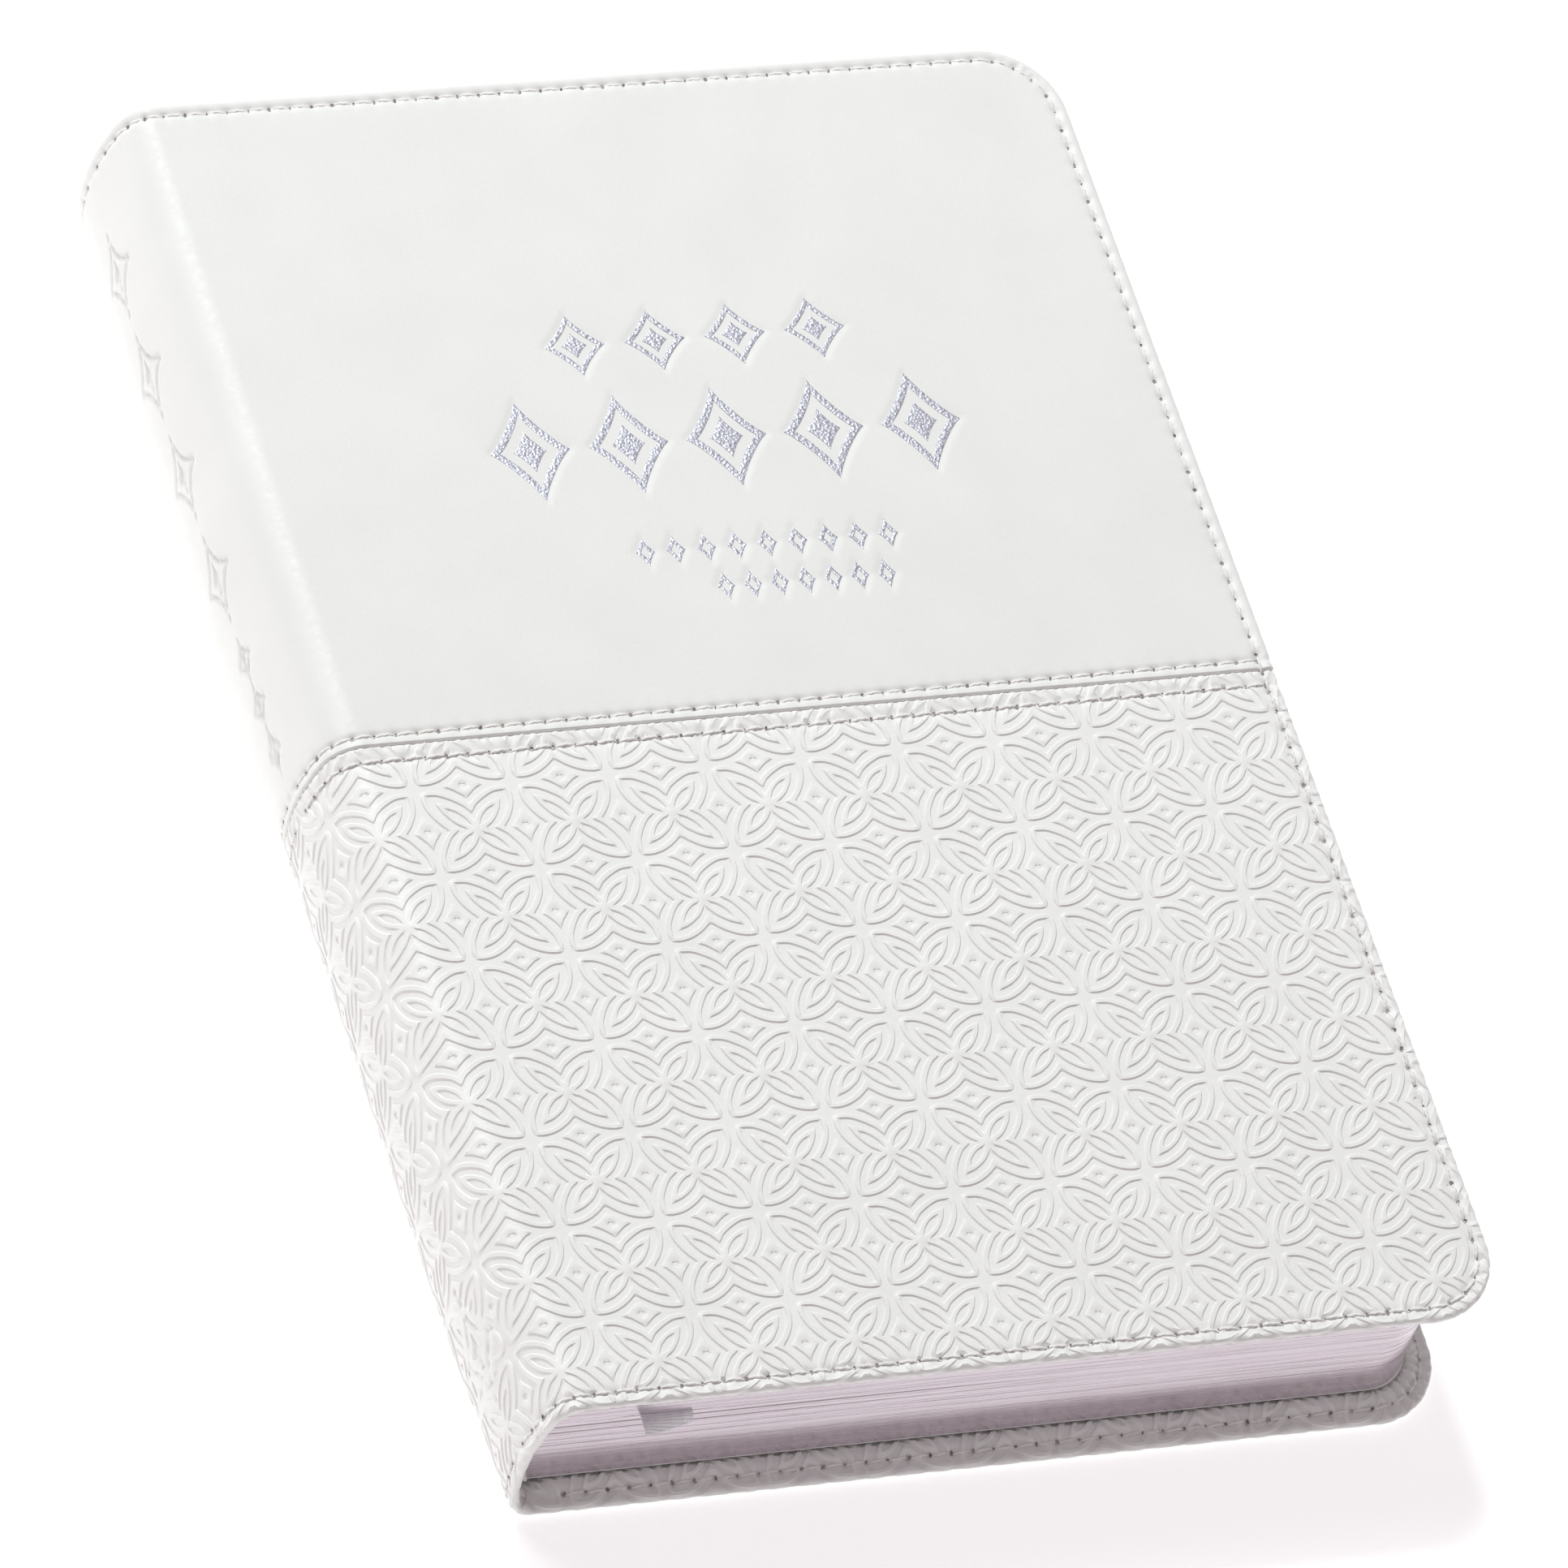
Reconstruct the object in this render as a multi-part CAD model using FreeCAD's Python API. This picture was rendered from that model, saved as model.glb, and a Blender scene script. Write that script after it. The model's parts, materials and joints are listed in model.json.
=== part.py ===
import FreeCAD, Part
import math
import os

"""A small bible in a flexible two-tone cover, lying on its back cover.

Millimetres, +Z up. X runs from the spine (-) to the fore-edge (+) and Y from the tail (-) to the head (+).
The origin is the middle of the underside. The upper half of the cover is smooth leather and the lower half is
embossed, and the two meet in a seam sewn with two rows of stitches.
"""

V = FreeCAD.Vector

# Driving dimensions
WIDTH, HEIGHT, THICKNESS = 141.0, 213.0, 26.9
LEATHER, BOARD, INFILL, PASTEDOWN = 0.8, 1.0, 0.6, 0.3  # the layers of a cover, from outside to inside
CORNER_R = 11.5  # fore-edge corners of the covers
EDGE_ROUND = 1.2  # the rolled edge of a cover
SHOULDER_R, SPINE_DEPTH = 5.8, 6.8  # rounding of the spine, and how far it bulges past the flat of the covers
SQUARE = 4.5  # how far the covers overhang the pages
PAGE_CORNER_R = 8.0
GATHERINGS, TURNING = 16, 3  # sections of the book, and how many of them turn with the front cover
PAGE_GAP = 0.05  # air between parts that turn apart
FLYLEAF = 0.2
SEAM_Y = -0.9  # where the smooth and the embossed leather meet
SEAM_GROOVE = 0.3
STITCH_INSET, STITCH_PITCH = 2.1, 3.1
SEAM_ROWS = (1.5, -2.5)  # the two rows of stitches, from the seam
THREAD_W, THREAD_H, THREAD_SHARE = 0.6, 0.3, 0.76  # a stitch's width, height and share of the pitch
CHANNEL_W = 0.9
JOINT_GAP = 0.15  # each side of a hinge axis
TURN_IN = 12.0  # width of the leather folded in over the board
PASTE_INSET = 4.7  # from the edge of a cover to the edge of its pastedown
SPINE_CARD, SPINE_TURN = 0.7, 0.4  # thickness of the stiffener, and of the leather turned in at the ends
SPINE_HEM, SPINE_RIM = 12.0, 1.0  # how far that leather reaches in, and the solid rim at each end
RIBBON_W, RIBBON_T = 7.4, 0.25
RIBBON_X = -48.2  # where the ribbon's end leaves the pages at the tail
RIBBON_HEAD_X, RIBBON_OVER, RIBBON_END = -59.5, 0.4, 3.4  # its top, and how far it stands out at head and tail
RIBBON_GATHERING = 7  # the ribbon lies between this gathering and the one above
THREAD_LAYER, MULL, LINER = 0.3, 0.3, 0.4  # layers on the sewn back, from the pages out
BAND_R, BAND_IN = 0.8, 0.3  # the woven bands, and how far in from the back of the pages they sit
THREAD_STATIONS, THREAD_INSET, TAPE_HALF = 6, 14.0, 1.0  # where the sewing crosses the back, and its half width
MULL_INSET = 6.0
FOIL_DEPTH, FOIL = 0.2, 0.08  # the stamped recess, and the foil in it
FOIL_HOLLOW = 0.55  # the open middle of each stamped lozenge
STITCH_DIP, CHANNEL_SPARE = 0.05, 0.30  # stitches round the spine are straight, so they lie deeper than on a cover
ROW_START = 0.4  # from the joint to the first stitch of a row
FLAT_END = 0.3  # how far the stiffener and the stitches reach past the shoulder of the spine
BOARD_START, BOARD_INSET = 4.0, 3.2  # how far the boards stay from the joint and from the other edges
FIT = 0.05  # air between a card and the leather round it

# Worked out from those
COVER = LEATHER + BOARD + INFILL + PASTEDOWN
FORE_X, SPINE_X = WIDTH / 2, -WIDTH / 2
HALF_H = HEIGHT / 2
SHOULDER_X = SPINE_X + SPINE_DEPTH  # where the covers leave the flat and turn into the spine
JOINT_X = SHOULDER_X + 1.0  # both hinge axes run along Y here, just outside the leather
MID_Z = THICKNESS / 2
SHOULDER_H = MID_Z - SHOULDER_R
BACK_R = (SPINE_DEPTH**2 + SHOULDER_H**2 - SHOULDER_R**2) / (2 * (SPINE_DEPTH - SHOULDER_R))
PANEL_X = JOINT_X + JOINT_GAP  # the spine side of each cover
LEAF_Z0 = COVER + 2 * PAGE_GAP + FLYLEAF  # the pages between the two flyleaves
LEAF_Z1 = THICKNESS - LEAF_Z0
GATHERING = (LEAF_Z1 - LEAF_Z0) / GATHERINGS
TURN_Z = LEAF_Z1 - TURNING * GATHERING  # the pages above this turn with the front cover
BLOCK_X0, BLOCK_ROUND = SPINE_X + 6.3, 2.6  # the sewn back of the pages, and how far it is rounded
BLOCK_X1, BLOCK_HOLLOW = FORE_X - SQUARE, 0.8  # the fore-edge, and how far it is hollowed
BLOCK_HALF = HALF_H - SQUARE

os.makedirs("parts", exist_ok=True)


def save(name, shape):
    """Writes one node."""
    shape.exportStep(os.path.join("parts", name + ".step"))


def box(x0, x1, y0, y1, z0, z1):
    return Part.makeBox(x1 - x0, y1 - y0, z1 - z0, V(x0, y0, z0))


def arc(a, b, c):
    return Part.Arc(a, b, c).toShape()


def line(a, b):
    return Part.LineSegment(a, b).toShape()


def mirrored(shape):
    """The same shape on the other cover: the book is the same above and below its middle."""
    return shape.mirror(V(0, 0, MID_Z), V(0, 0, 1))


def outline(x0, inset, radius):
    """The edge of a leaf or cover as a wire at z = 0, square at the spine side and round at the fore-edge."""
    x1, y1 = FORE_X - inset, HALF_H - inset
    bend = radius * (1 - math.sqrt(0.5))
    return Part.Wire([
        line(V(x0, y1, 0), V(x1 - radius, y1, 0)),
        arc(V(x1 - radius, y1, 0), V(x1 - bend, y1 - bend, 0), V(x1, y1 - radius, 0)),
        line(V(x1, y1 - radius, 0), V(x1, radius - y1, 0)),
        arc(V(x1, radius - y1, 0), V(x1 - bend, bend - y1, 0), V(x1 - radius, -y1, 0)),
        line(V(x1 - radius, -y1, 0), V(x0, -y1, 0)),
    ])


def slab(x0, inset, z0, z1, radius=None):
    """A flat sheet with the outline of a cover, drawn in by inset all round."""
    edge = outline(x0, inset, max(CORNER_R - inset, 1.0) if radius is None else radius)
    close = line(V(x0, inset - HALF_H, 0), V(x0, HALF_H - inset, 0))
    face = Part.Face(Part.Wire(edge.Edges + [close]))
    face.translate(V(0, 0, z0))
    return face.extrude(V(0, 0, z1 - z0))


def spine_points(offset):
    """The end, shoulder, tangent and middle points of the spine's section, drawn in by offset, on its upper half."""
    shoulder = V(SHOULDER_X, 0, THICKNESS - SHOULDER_R)
    back = V(SPINE_X + BACK_R, 0, MID_Z)
    away = (shoulder - back).normalize()
    tangent = back + away * (BACK_R - offset)
    half_way = (away + V(0, 0, 1)).normalize()
    return (
        V(SHOULDER_X, 0, THICKNESS - offset),
        shoulder + half_way * (SHOULDER_R - offset),
        tangent,
        V(SPINE_X + offset, 0, MID_Z),
    )


def flipped(p):
    return V(p.x, p.y, THICKNESS - p.z)


def spine_edges(offset, x_end):
    """The spine's section as edges from the front cover round to the back cover."""
    top, shoulder, tangent, middle = spine_points(offset)
    start = V(x_end, 0, top.z)
    return [
        line(start, top),
        arc(top, shoulder, tangent),
        arc(tangent, middle, flipped(tangent)),
        arc(flipped(tangent), flipped(shoulder), flipped(top)),
        line(flipped(top), flipped(start)),
    ]


def spine_shell(outer, inner, x_end, y0, y1):
    """A layer of the spine between two offsets."""
    outside, inside = spine_edges(outer, x_end), spine_edges(inner, x_end)
    ends = [
        line(outside[0].Vertexes[0].Point, inside[0].Vertexes[0].Point),
        line(outside[-1].Vertexes[-1].Point, inside[-1].Vertexes[-1].Point),
    ]
    face = Part.Face(Part.Wire(Part.__sortEdges__(outside + inside + ends)))
    face.translate(V(0, y1, 0))
    return face.extrude(V(0, y0 - y1, 0))


def stitch(a, b, outward):
    """One stitch from a to b, with its top face on the line between them."""
    along = (b - a).normalize()
    side = outward.cross(along)
    length = (b - a).Length * THREAD_SHARE
    thread = Part.makeBox(length, THREAD_W, THREAD_H, V(-length / 2, -THREAD_W / 2, -THREAD_H))
    middle = (a + b) / 2
    place = FreeCAD.Matrix(
        along.x, side.x, outward.x, middle.x,
        along.y, side.y, outward.y, middle.y,
        along.z, side.z, outward.z, middle.z,
        0, 0, 0, 1,
    )
    thread.Placement = FreeCAD.Placement(place)
    return thread


def flat_row(wire, z, up):
    """Stitches along a flat wire, with their outer faces at height z."""
    points = wire.discretize(Number=max(2, round(wire.Length / STITCH_PITCH) + 1))
    points = [V(p.x, p.y, z) for p in points]
    return [stitch(a, b, V(0, 0, up)) for a, b in zip(points, points[1:])]


def spine_row(y):
    """Stitches round the spine at one height of the book."""
    wire = Part.Wire(spine_edges(0, SHOULDER_X + FLAT_END))
    points = wire.discretize(Number=round(wire.Length / STITCH_PITCH) + 1)
    made = []
    for a, b in zip(points, points[1:]):
        outward = V(0, 1, 0).cross(b - a).normalize()
        if outward.dot(V((a.x + b.x) / 2 - SHOULDER_X, 0, (a.z + b.z) / 2 - MID_Z)) < 0:
            outward = -outward
        dip = outward * -STITCH_DIP
        made.append(stitch(V(a.x, y, a.z) + dip, V(b.x, y, b.z) + dip, outward))
    return made


def halves(shape):
    """The smooth and the embossed half of a leather shape, parted by the groove of the seam."""
    far = WIDTH
    upper = box(-far, far, SEAM_Y + SEAM_GROOVE / 2, far, -far, far)
    lower = box(-far, far, -far, SEAM_Y - SEAM_GROOVE / 2, -far, far)
    return shape.common(upper), shape.common(lower)


def foil_marks():
    """The stamped ornament of the front cover: four rows of lozenges, as (x, y, half width, half height)."""
    rows = ((61.2, -19.2, 25.8, 4, 5.2, 4.6), (44.3, -32.2, 37.8, 5, 8.4, 6.0),
            (26.4, -16.2, 22.8, 9, 2.5, 1.5), (19.9, -6.2, 20.4, 7, 2.5, 1.4))
    marks = []
    for y, x0, x1, count, half_h, half_w in rows:
        step = (x1 - x0 - 2 * half_w) / (count - 1)
        marks += [(x0 + half_w + i * step, y, half_w, half_h) for i in range(count)]
    return marks


def lozenge(x, y, half_w, half_h, z0, z1):
    """A lozenge-shaped plate, hollow in the middle."""
    def ring(share):
        corners = [V(x - half_w * share, y, z0), V(x, y + half_h * share, z0),
                   V(x + half_w * share, y, z0), V(x, y - half_h * share, z0)]
        return Part.Face(Part.makePolygon(corners + corners[:1])).extrude(V(0, 0, z1 - z0))
    return ring(1.0).cut(ring(FOIL_HOLLOW))


def cover_leather():
    """The leather of the front cover in one piece: skin, rolled edges and turn-in round a pocket for the board."""
    top, inner = THICKNESS, THICKNESS - COVER
    shell = slab(PANEL_X, 0, inner, top)
    rolled = [
        e for e in shell.Edges
        if abs(e.BoundBox.ZMax - e.BoundBox.ZMin) < 1e-6 and e.BoundBox.XMax > PANEL_X + 1e-6
    ]
    shell = shell.makeFillet(EDGE_ROUND, rolled)
    shell = shell.cut(slab(PANEL_X - 1, BOARD_INSET, top - LEATHER - BOARD, top - LEATHER))
    shell = shell.cut(slab(PANEL_X - 1, TURN_IN, inner + PASTEDOWN, top - LEATHER - BOARD))
    shell = shell.cut(slab(PANEL_X - 1, PASTE_INSET, inner, inner + PASTEDOWN))
    half = CHANNEL_W / 2
    for z0, z1 in ((top - THREAD_H, top), (inner, inner + THREAD_H)):
        ring = slab(PANEL_X - 1, STITCH_INSET - half, z0, z1).cut(slab(PANEL_X - 2, STITCH_INSET + half, z0, z1))
        shell = shell.cut(ring)
    for row in SEAM_ROWS:
        y = SEAM_Y + row
        shell = shell.cut(box(PANEL_X - 1, FORE_X - STITCH_INSET, y - half, y + half, top - THREAD_H, top))
    return shell


def seam_stitches(row):
    """One row of stitches across the front cover."""
    y = SEAM_Y + row
    ends = V(PANEL_X + ROW_START, y, 0), V(FORE_X - STITCH_INSET - 2 * ROW_START, y, 0)
    return Part.makeCompound(flat_row(Part.Wire([line(*ends)]), THICKNESS, 1))


def edge_stitches():
    """The stitches round the front cover, seen outside and, through the turn-in, inside."""
    wire = outline(PANEL_X + ROW_START, STITCH_INSET, CORNER_R - STITCH_INSET)
    return Part.makeCompound(flat_row(wire, THICKNESS, 1) + flat_row(wire, THICKNESS - COVER, -1))


def cover_parts():
    """The parts of the front cover by name, without the foil."""
    smooth, embossed = halves(cover_leather())
    top, inner = THICKNESS, THICKNESS - COVER
    return {
        "leather_smooth": smooth,
        "leather_embossed": embossed,
        "board": slab(PANEL_X + BOARD_START, BOARD_INSET + FIT, top - LEATHER - BOARD, top - LEATHER),
        "infill_card": slab(PANEL_X + BOARD_START, TURN_IN + FIT, inner + PASTEDOWN, top - LEATHER - BOARD),
        "pastedown": slab(PANEL_X + BOARD_START / 8, PASTE_INSET + FIT, inner, inner + PASTEDOWN),
        "edge_stitching": edge_stitches(),
        "seam_stitching_upper": seam_stitches(SEAM_ROWS[0]),
        "seam_stitching_lower": seam_stitches(SEAM_ROWS[1]),
    }


def make_covers():
    front = cover_parts()
    for name, shape in front.items():
        save("back_" + name, mirrored(shape))
    floor = THICKNESS - FOIL_DEPTH
    recesses = [lozenge(*m, floor, THICKNESS) for m in foil_marks()]
    plates = [lozenge(*m, floor, floor + FOIL) for m in foil_marks()]
    front["leather_smooth"] = front["leather_smooth"].cut(recesses)
    front["foil_ornament"] = Part.makeCompound(plates)
    for name, shape in front.items():
        save("front_" + name, shape)


def spine_leather():
    """The leather over the spine, with its ends turned in round the stiffener."""
    x_end = JOINT_X - JOINT_GAP
    shell = spine_shell(0, LEATHER, x_end, -HALF_H, HALF_H)
    lining = LEATHER + SPINE_CARD
    for side in (-1, 1):
        ends = sorted((side * HALF_H, side * (HALF_H - SPINE_HEM)))
        rim = sorted((side * HALF_H, side * (HALF_H - SPINE_RIM)))
        shell = shell.fuse(spine_shell(lining, lining + SPINE_TURN, x_end, *ends))
        shell = shell.fuse(spine_shell(LEATHER, lining, x_end, *rim))
    half = CHANNEL_W / 2
    rows = [HALF_H - STITCH_INSET, STITCH_INSET - HALF_H] + [SEAM_Y + r for r in SEAM_ROWS]
    for y in rows:
        shell = shell.cut(spine_shell(-LEATHER, THREAD_H + CHANNEL_SPARE, x_end + 1, y - half, y + half))
    return shell


def make_spine():
    smooth, embossed = halves(spine_leather())
    save("spine_leather_smooth", smooth)
    save("spine_leather_embossed", embossed)
    reach = HALF_H - SPINE_RIM - FIT
    save("spine_stiffener", spine_shell(LEATHER, LEATHER + SPINE_CARD, SHOULDER_X + FLAT_END, -reach, reach))
    save("spine_head_stitching", Part.makeCompound(spine_row(HALF_H - STITCH_INSET)))
    save("spine_tail_stitching", Part.makeCompound(spine_row(STITCH_INSET - HALF_H)))
    save("spine_seam_stitching_upper", Part.makeCompound(spine_row(SEAM_Y + SEAM_ROWS[0])))
    save("spine_seam_stitching_lower", Part.makeCompound(spine_row(SEAM_Y + SEAM_ROWS[1])))


def block_section(grow):
    """The rounded back of the pages, or of a layer glued on it, at y = 0, with its lower and upper ends."""
    z0, z1 = LEAF_Z0, LEAF_Z1
    back = arc(V(BLOCK_X0 - grow, 0, z0), V(BLOCK_X0 - BLOCK_ROUND - grow, 0, MID_Z), V(BLOCK_X0 - grow, 0, z1))
    return back, V(BLOCK_X0 - grow, 0, z0), V(BLOCK_X0 - grow, 0, z1)


def page_block():
    """All the pages between the flyleaves as one solid: round at the back and hollow at the fore-edge."""
    back, low, high = block_section(0)
    right_low, right_high = V(BLOCK_X1, 0, LEAF_Z0), V(BLOCK_X1, 0, LEAF_Z1)
    front = arc(right_low, V(BLOCK_X1 - BLOCK_HOLLOW, 0, MID_Z), right_high)
    face = Part.Face(Part.Wire([back, line(high, right_high), front, line(right_low, low)]))
    face.translate(V(0, -BLOCK_HALF, 0))
    block = face.extrude(V(0, 2 * BLOCK_HALF, 0))
    return block.common(slab(SPINE_X, SQUARE, 0, THICKNESS, PAGE_CORNER_R))


def back_layer(inner, outer, y0, y1):
    """A layer glued round the sewn back of the pages."""
    inside, low_in, high_in = block_section(inner)
    outside, low_out, high_out = block_section(outer)
    face = Part.Face(Part.Wire([inside, line(high_in, high_out), outside, line(low_out, low_in)]))
    face.translate(V(0, y0, 0))
    return face.extrude(V(0, y1 - y0, 0))


def ribbon(grow):
    """The ribbon marker, flat between the pages, from the head band to just past the tail."""
    z = LEAF_Z1 - (RIBBON_GATHERING - 1) * GATHERING
    head, tail = V(RIBBON_HEAD_X, BLOCK_HALF + RIBBON_OVER, z), V(RIBBON_X, -BLOCK_HALF - RIBBON_END, z)
    along = (tail - head).normalize()
    side = along.cross(V(0, 0, 1)) * (RIBBON_W / 2 + grow)
    corners = [head + side, head - side, tail - side, tail + side]
    face = Part.Face(Part.makePolygon(corners + corners[:1]))
    face.translate(V(0, 0, -RIBBON_T - grow))
    return face.extrude(V(0, 0, RIBBON_T + grow))


def make_pages():
    block = page_block()
    parting = JOINT_X + 2 * PAGE_GAP
    far = HEIGHT
    for i in range(1, GATHERINGS + 1):
        z1 = LEAF_Z1 - (i - 1) * GATHERING
        start = parting if i <= TURNING else -far
        gathering = block.common(box(start, far, -far, far, z1 - GATHERING, z1))
        if i == RIBBON_GATHERING:
            gathering = gathering.cut(ribbon(FIT))
        save("gathering_%02d" % i, gathering)
    save("front_sewn_folds", block.common(box(-far, parting - JOINT_GAP, -far, far, TURN_Z, LEAF_Z1)))
    z0, z1 = LEAF_Z1 + PAGE_GAP, LEAF_Z1 + PAGE_GAP + FLYLEAF
    flyleaf = slab(parting, SQUARE, z0, z1, PAGE_CORNER_R)
    save("front_flyleaf", flyleaf)
    save("back_flyleaf", mirrored(flyleaf))
    save("ribbon_marker", ribbon(0))


def make_back_linings():
    """What holds the pages together at the spine: sewing, gauze, paper lining, and a woven band at each end."""
    spread = 2 * (BLOCK_HALF - THREAD_INSET) / (THREAD_STATIONS - 1)
    threads = [
        back_layer(0, THREAD_LAYER, y - TAPE_HALF, y + TAPE_HALF)
        for y in (THREAD_INSET - BLOCK_HALF + i * spread for i in range(THREAD_STATIONS))
    ]
    save("sewing_threads", Part.makeCompound(threads))
    reach = BLOCK_HALF - MULL_INSET
    save("spine_mull", back_layer(THREAD_LAYER, THREAD_LAYER + MULL, -reach, reach))
    out = THREAD_LAYER + MULL
    save("spine_liner", back_layer(out, out + LINER, -BLOCK_HALF, BLOCK_HALF))
    for name, side in (("head_band", 1), ("tail_band", -1)):
        path, low, high = block_section(-BAND_IN)
        path.translate(V(0, side * (BLOCK_HALF + BAND_R), 0))
        start = path.valueAt(path.FirstParameter)
        ring = Part.Wire(Part.makeCircle(BAND_R, start, path.tangentAt(path.FirstParameter)))
        band = Part.Wire(path).makePipeShell([ring], True, False)
        save(name, band.common(box(-WIDTH, WIDTH, -HEIGHT, HEIGHT, LEAF_Z0, LEAF_Z1)))


make_covers()
make_spine()
make_pages()
make_back_linings()
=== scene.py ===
"""The looks of a small white bible: leather with a sewn seam and an embossed lower half, silvered pages,
stitches, ribbon, woven bands and a stamped ornament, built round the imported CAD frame.

Sizes are in millimetres until a mesh is made. The leather of each half of the cover is drawn on a flat sheet
(u across, v up) and then folded: u runs from the middle of the spine round its shoulder and across the cover,
and what reaches past an edge is rolled round it and turned in.
"""
import json
import math

import bpy
import numpy as np
from mathutils import Matrix, Vector
from mathutils.geometry import delaunay_2d_cdt


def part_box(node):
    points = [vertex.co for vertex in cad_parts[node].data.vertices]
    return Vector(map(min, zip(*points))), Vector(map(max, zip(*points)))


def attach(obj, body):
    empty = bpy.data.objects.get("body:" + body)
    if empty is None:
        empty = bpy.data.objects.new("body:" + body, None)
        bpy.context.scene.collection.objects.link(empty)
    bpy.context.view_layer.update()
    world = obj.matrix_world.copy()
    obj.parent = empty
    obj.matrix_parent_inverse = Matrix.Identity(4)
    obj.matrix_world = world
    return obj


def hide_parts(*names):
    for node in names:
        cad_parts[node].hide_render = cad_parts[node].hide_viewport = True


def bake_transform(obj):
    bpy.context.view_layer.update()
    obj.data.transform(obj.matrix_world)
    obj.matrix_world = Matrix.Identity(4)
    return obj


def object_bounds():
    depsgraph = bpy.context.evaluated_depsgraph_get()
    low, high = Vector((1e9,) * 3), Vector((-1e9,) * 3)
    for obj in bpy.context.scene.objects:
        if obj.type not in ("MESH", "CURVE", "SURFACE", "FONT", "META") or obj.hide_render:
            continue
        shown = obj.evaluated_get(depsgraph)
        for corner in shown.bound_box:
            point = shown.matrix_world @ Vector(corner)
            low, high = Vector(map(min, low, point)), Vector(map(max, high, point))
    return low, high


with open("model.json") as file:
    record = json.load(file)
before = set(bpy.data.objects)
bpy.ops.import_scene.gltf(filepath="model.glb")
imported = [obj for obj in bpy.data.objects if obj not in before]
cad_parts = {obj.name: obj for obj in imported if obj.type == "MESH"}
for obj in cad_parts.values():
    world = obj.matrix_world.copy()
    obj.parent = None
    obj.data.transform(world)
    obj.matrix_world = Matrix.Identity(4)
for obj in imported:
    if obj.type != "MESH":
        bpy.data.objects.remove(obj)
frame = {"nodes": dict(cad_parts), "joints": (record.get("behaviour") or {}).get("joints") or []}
cad_low, cad_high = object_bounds()

MM = 0.001
rng = np.random.default_rng(7)

# The cover, from the frame
FORE_X, HALF_H, TOP = (round(c / MM, 2) for c in cad_high)
COVER = round(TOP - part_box("front_leather_smooth")[0].z / MM, 2)  # thickness of a cover
MID_Z = TOP / 2
HINGE_X = frame["joints"][0]["pos_m"][0] / MM
LEAF_Z1 = round(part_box("gathering_01")[1].z / MM, 2)
LEAF_Z0 = round(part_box("gathering_16")[0].z / MM, 2)
BLOCK_HALF = round(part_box("gathering_16")[1].y / MM, 2)
GATHERINGS, TURNING = 16, 3  # sections of the book, and how many of them are left out of the block: those that turn with the front cover in the book
GATHERING = (LEAF_Z1 - LEAF_Z0) / GATHERINGS

# The cover, as it was drawn
CORNER_R, SQUARE, PAGE_CORNER_R = 11.5, 4.5, 8.0
SHOULDER_X, SHOULDER_R, SPINE_DEPTH = -63.7, 5.8, 6.8
PINCH = 1.0  # how far the ends of the spine are drawn in
SEAM_Y, SEAM_ROWS = -0.9, (1.5, -2.5)
STITCH_INSET, STITCH_PITCH = 2.1, 3.1
PASTE_INSET = 4.7
BEAD_R = 0.9  # radius of the rolled edge
SPINE_LINED = 1.9  # thickness of the spine where its leather is turned in
TURNED_IN = 5.2  # how far the leather reaches inside the edge of a cover

# The section of the spine: a shoulder arc and then a flatter one to the middle
SHOULDER_H = MID_Z - SHOULDER_R
BACK_R = (SPINE_DEPTH**2 + SHOULDER_H**2 - SHOULDER_R**2) / (2 * (SPINE_DEPTH - SHOULDER_R))
SHOULDER_TURN = math.pi / 2 - math.atan2(SHOULDER_H, BACK_R - SPINE_DEPTH)
ROUND = SHOULDER_R * SHOULDER_TURN + BACK_R * (math.pi / 2 - SHOULDER_TURN)  # from shoulder to middle

# The embossed pattern: square tiles with a flower in each
TILE = 14.1
FLOWER_X = -9.62  # a column of flower centres
U_MID = FLOWER_X - 5 * TILE  # the middle of the spine is on such a column
RELIEF = 0.27  # height of the bands over the valleys
ROUND_SCALE = ROUND / (SHOULDER_X - U_MID)
SEAM_LAP = 0.08  # the embossed leather reaches this far under the smooth one
PATTERN_TOP = -1.42  # where a row of the embossed tiles starts

# The pages, bands and ribbon
BLOCK_X0, BLOCK_ROUND, BLOCK_HOLLOW = -64.3, 2.6, 0.8  # the sewn back, its rounding, and the hollow fore-edge
BUNDLES = 11  # bundles of leaves that show in the edge of one gathering
SET_BACK, SET_BACK_MOST = (5, 7, 8, 12), 0.16  # gatherings whose lowest bundle is set back, a dark line
BAND_IN, BAND_R, BAND_TURNS = -0.15, 0.5, 46
RIBBON_GATHERING, RIBBON_W, RIBBON_T = 7, 7.4, 0.25  # the ribbon lies on top of this gathering
RIBBON_X, RIBBON_HEAD_X = -48.2, -59.5
RIBBON_SLOPE, RIBBON_END = 0.93, 2.9  # how steeply its free end comes to hang, and how long that is


# -------- folding the sheet

def stacked(*parts):
    """Arrays side by side along a new last axis, such as coordinates of points."""
    return np.stack(parts, axis=-1)


def smoothstep(value, low, high):
    t = np.clip((value - low) / (high - low), 0, 1)
    return t * t * (3 - 2 * t)


def section(u):
    """x, z and the outward direction of the cover's outside, at u across the flat sheet."""
    length = np.clip((SHOULDER_X - u) * ROUND_SCALE, 0, None)
    first = np.minimum(length / SHOULDER_R, SHOULDER_TURN)
    turn = first + np.maximum(length - SHOULDER_R * SHOULDER_TURN, 0) / BACK_R
    x = SHOULDER_X + np.maximum(u - SHOULDER_X, 0)
    x = x - SHOULDER_R * np.sin(first) - BACK_R * (np.sin(turn) - np.sin(first))
    z = TOP - SHOULDER_R * (1 - np.cos(first)) - BACK_R * (np.cos(first) - np.cos(turn))
    return x, z, -np.sin(turn), np.cos(turn)


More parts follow.
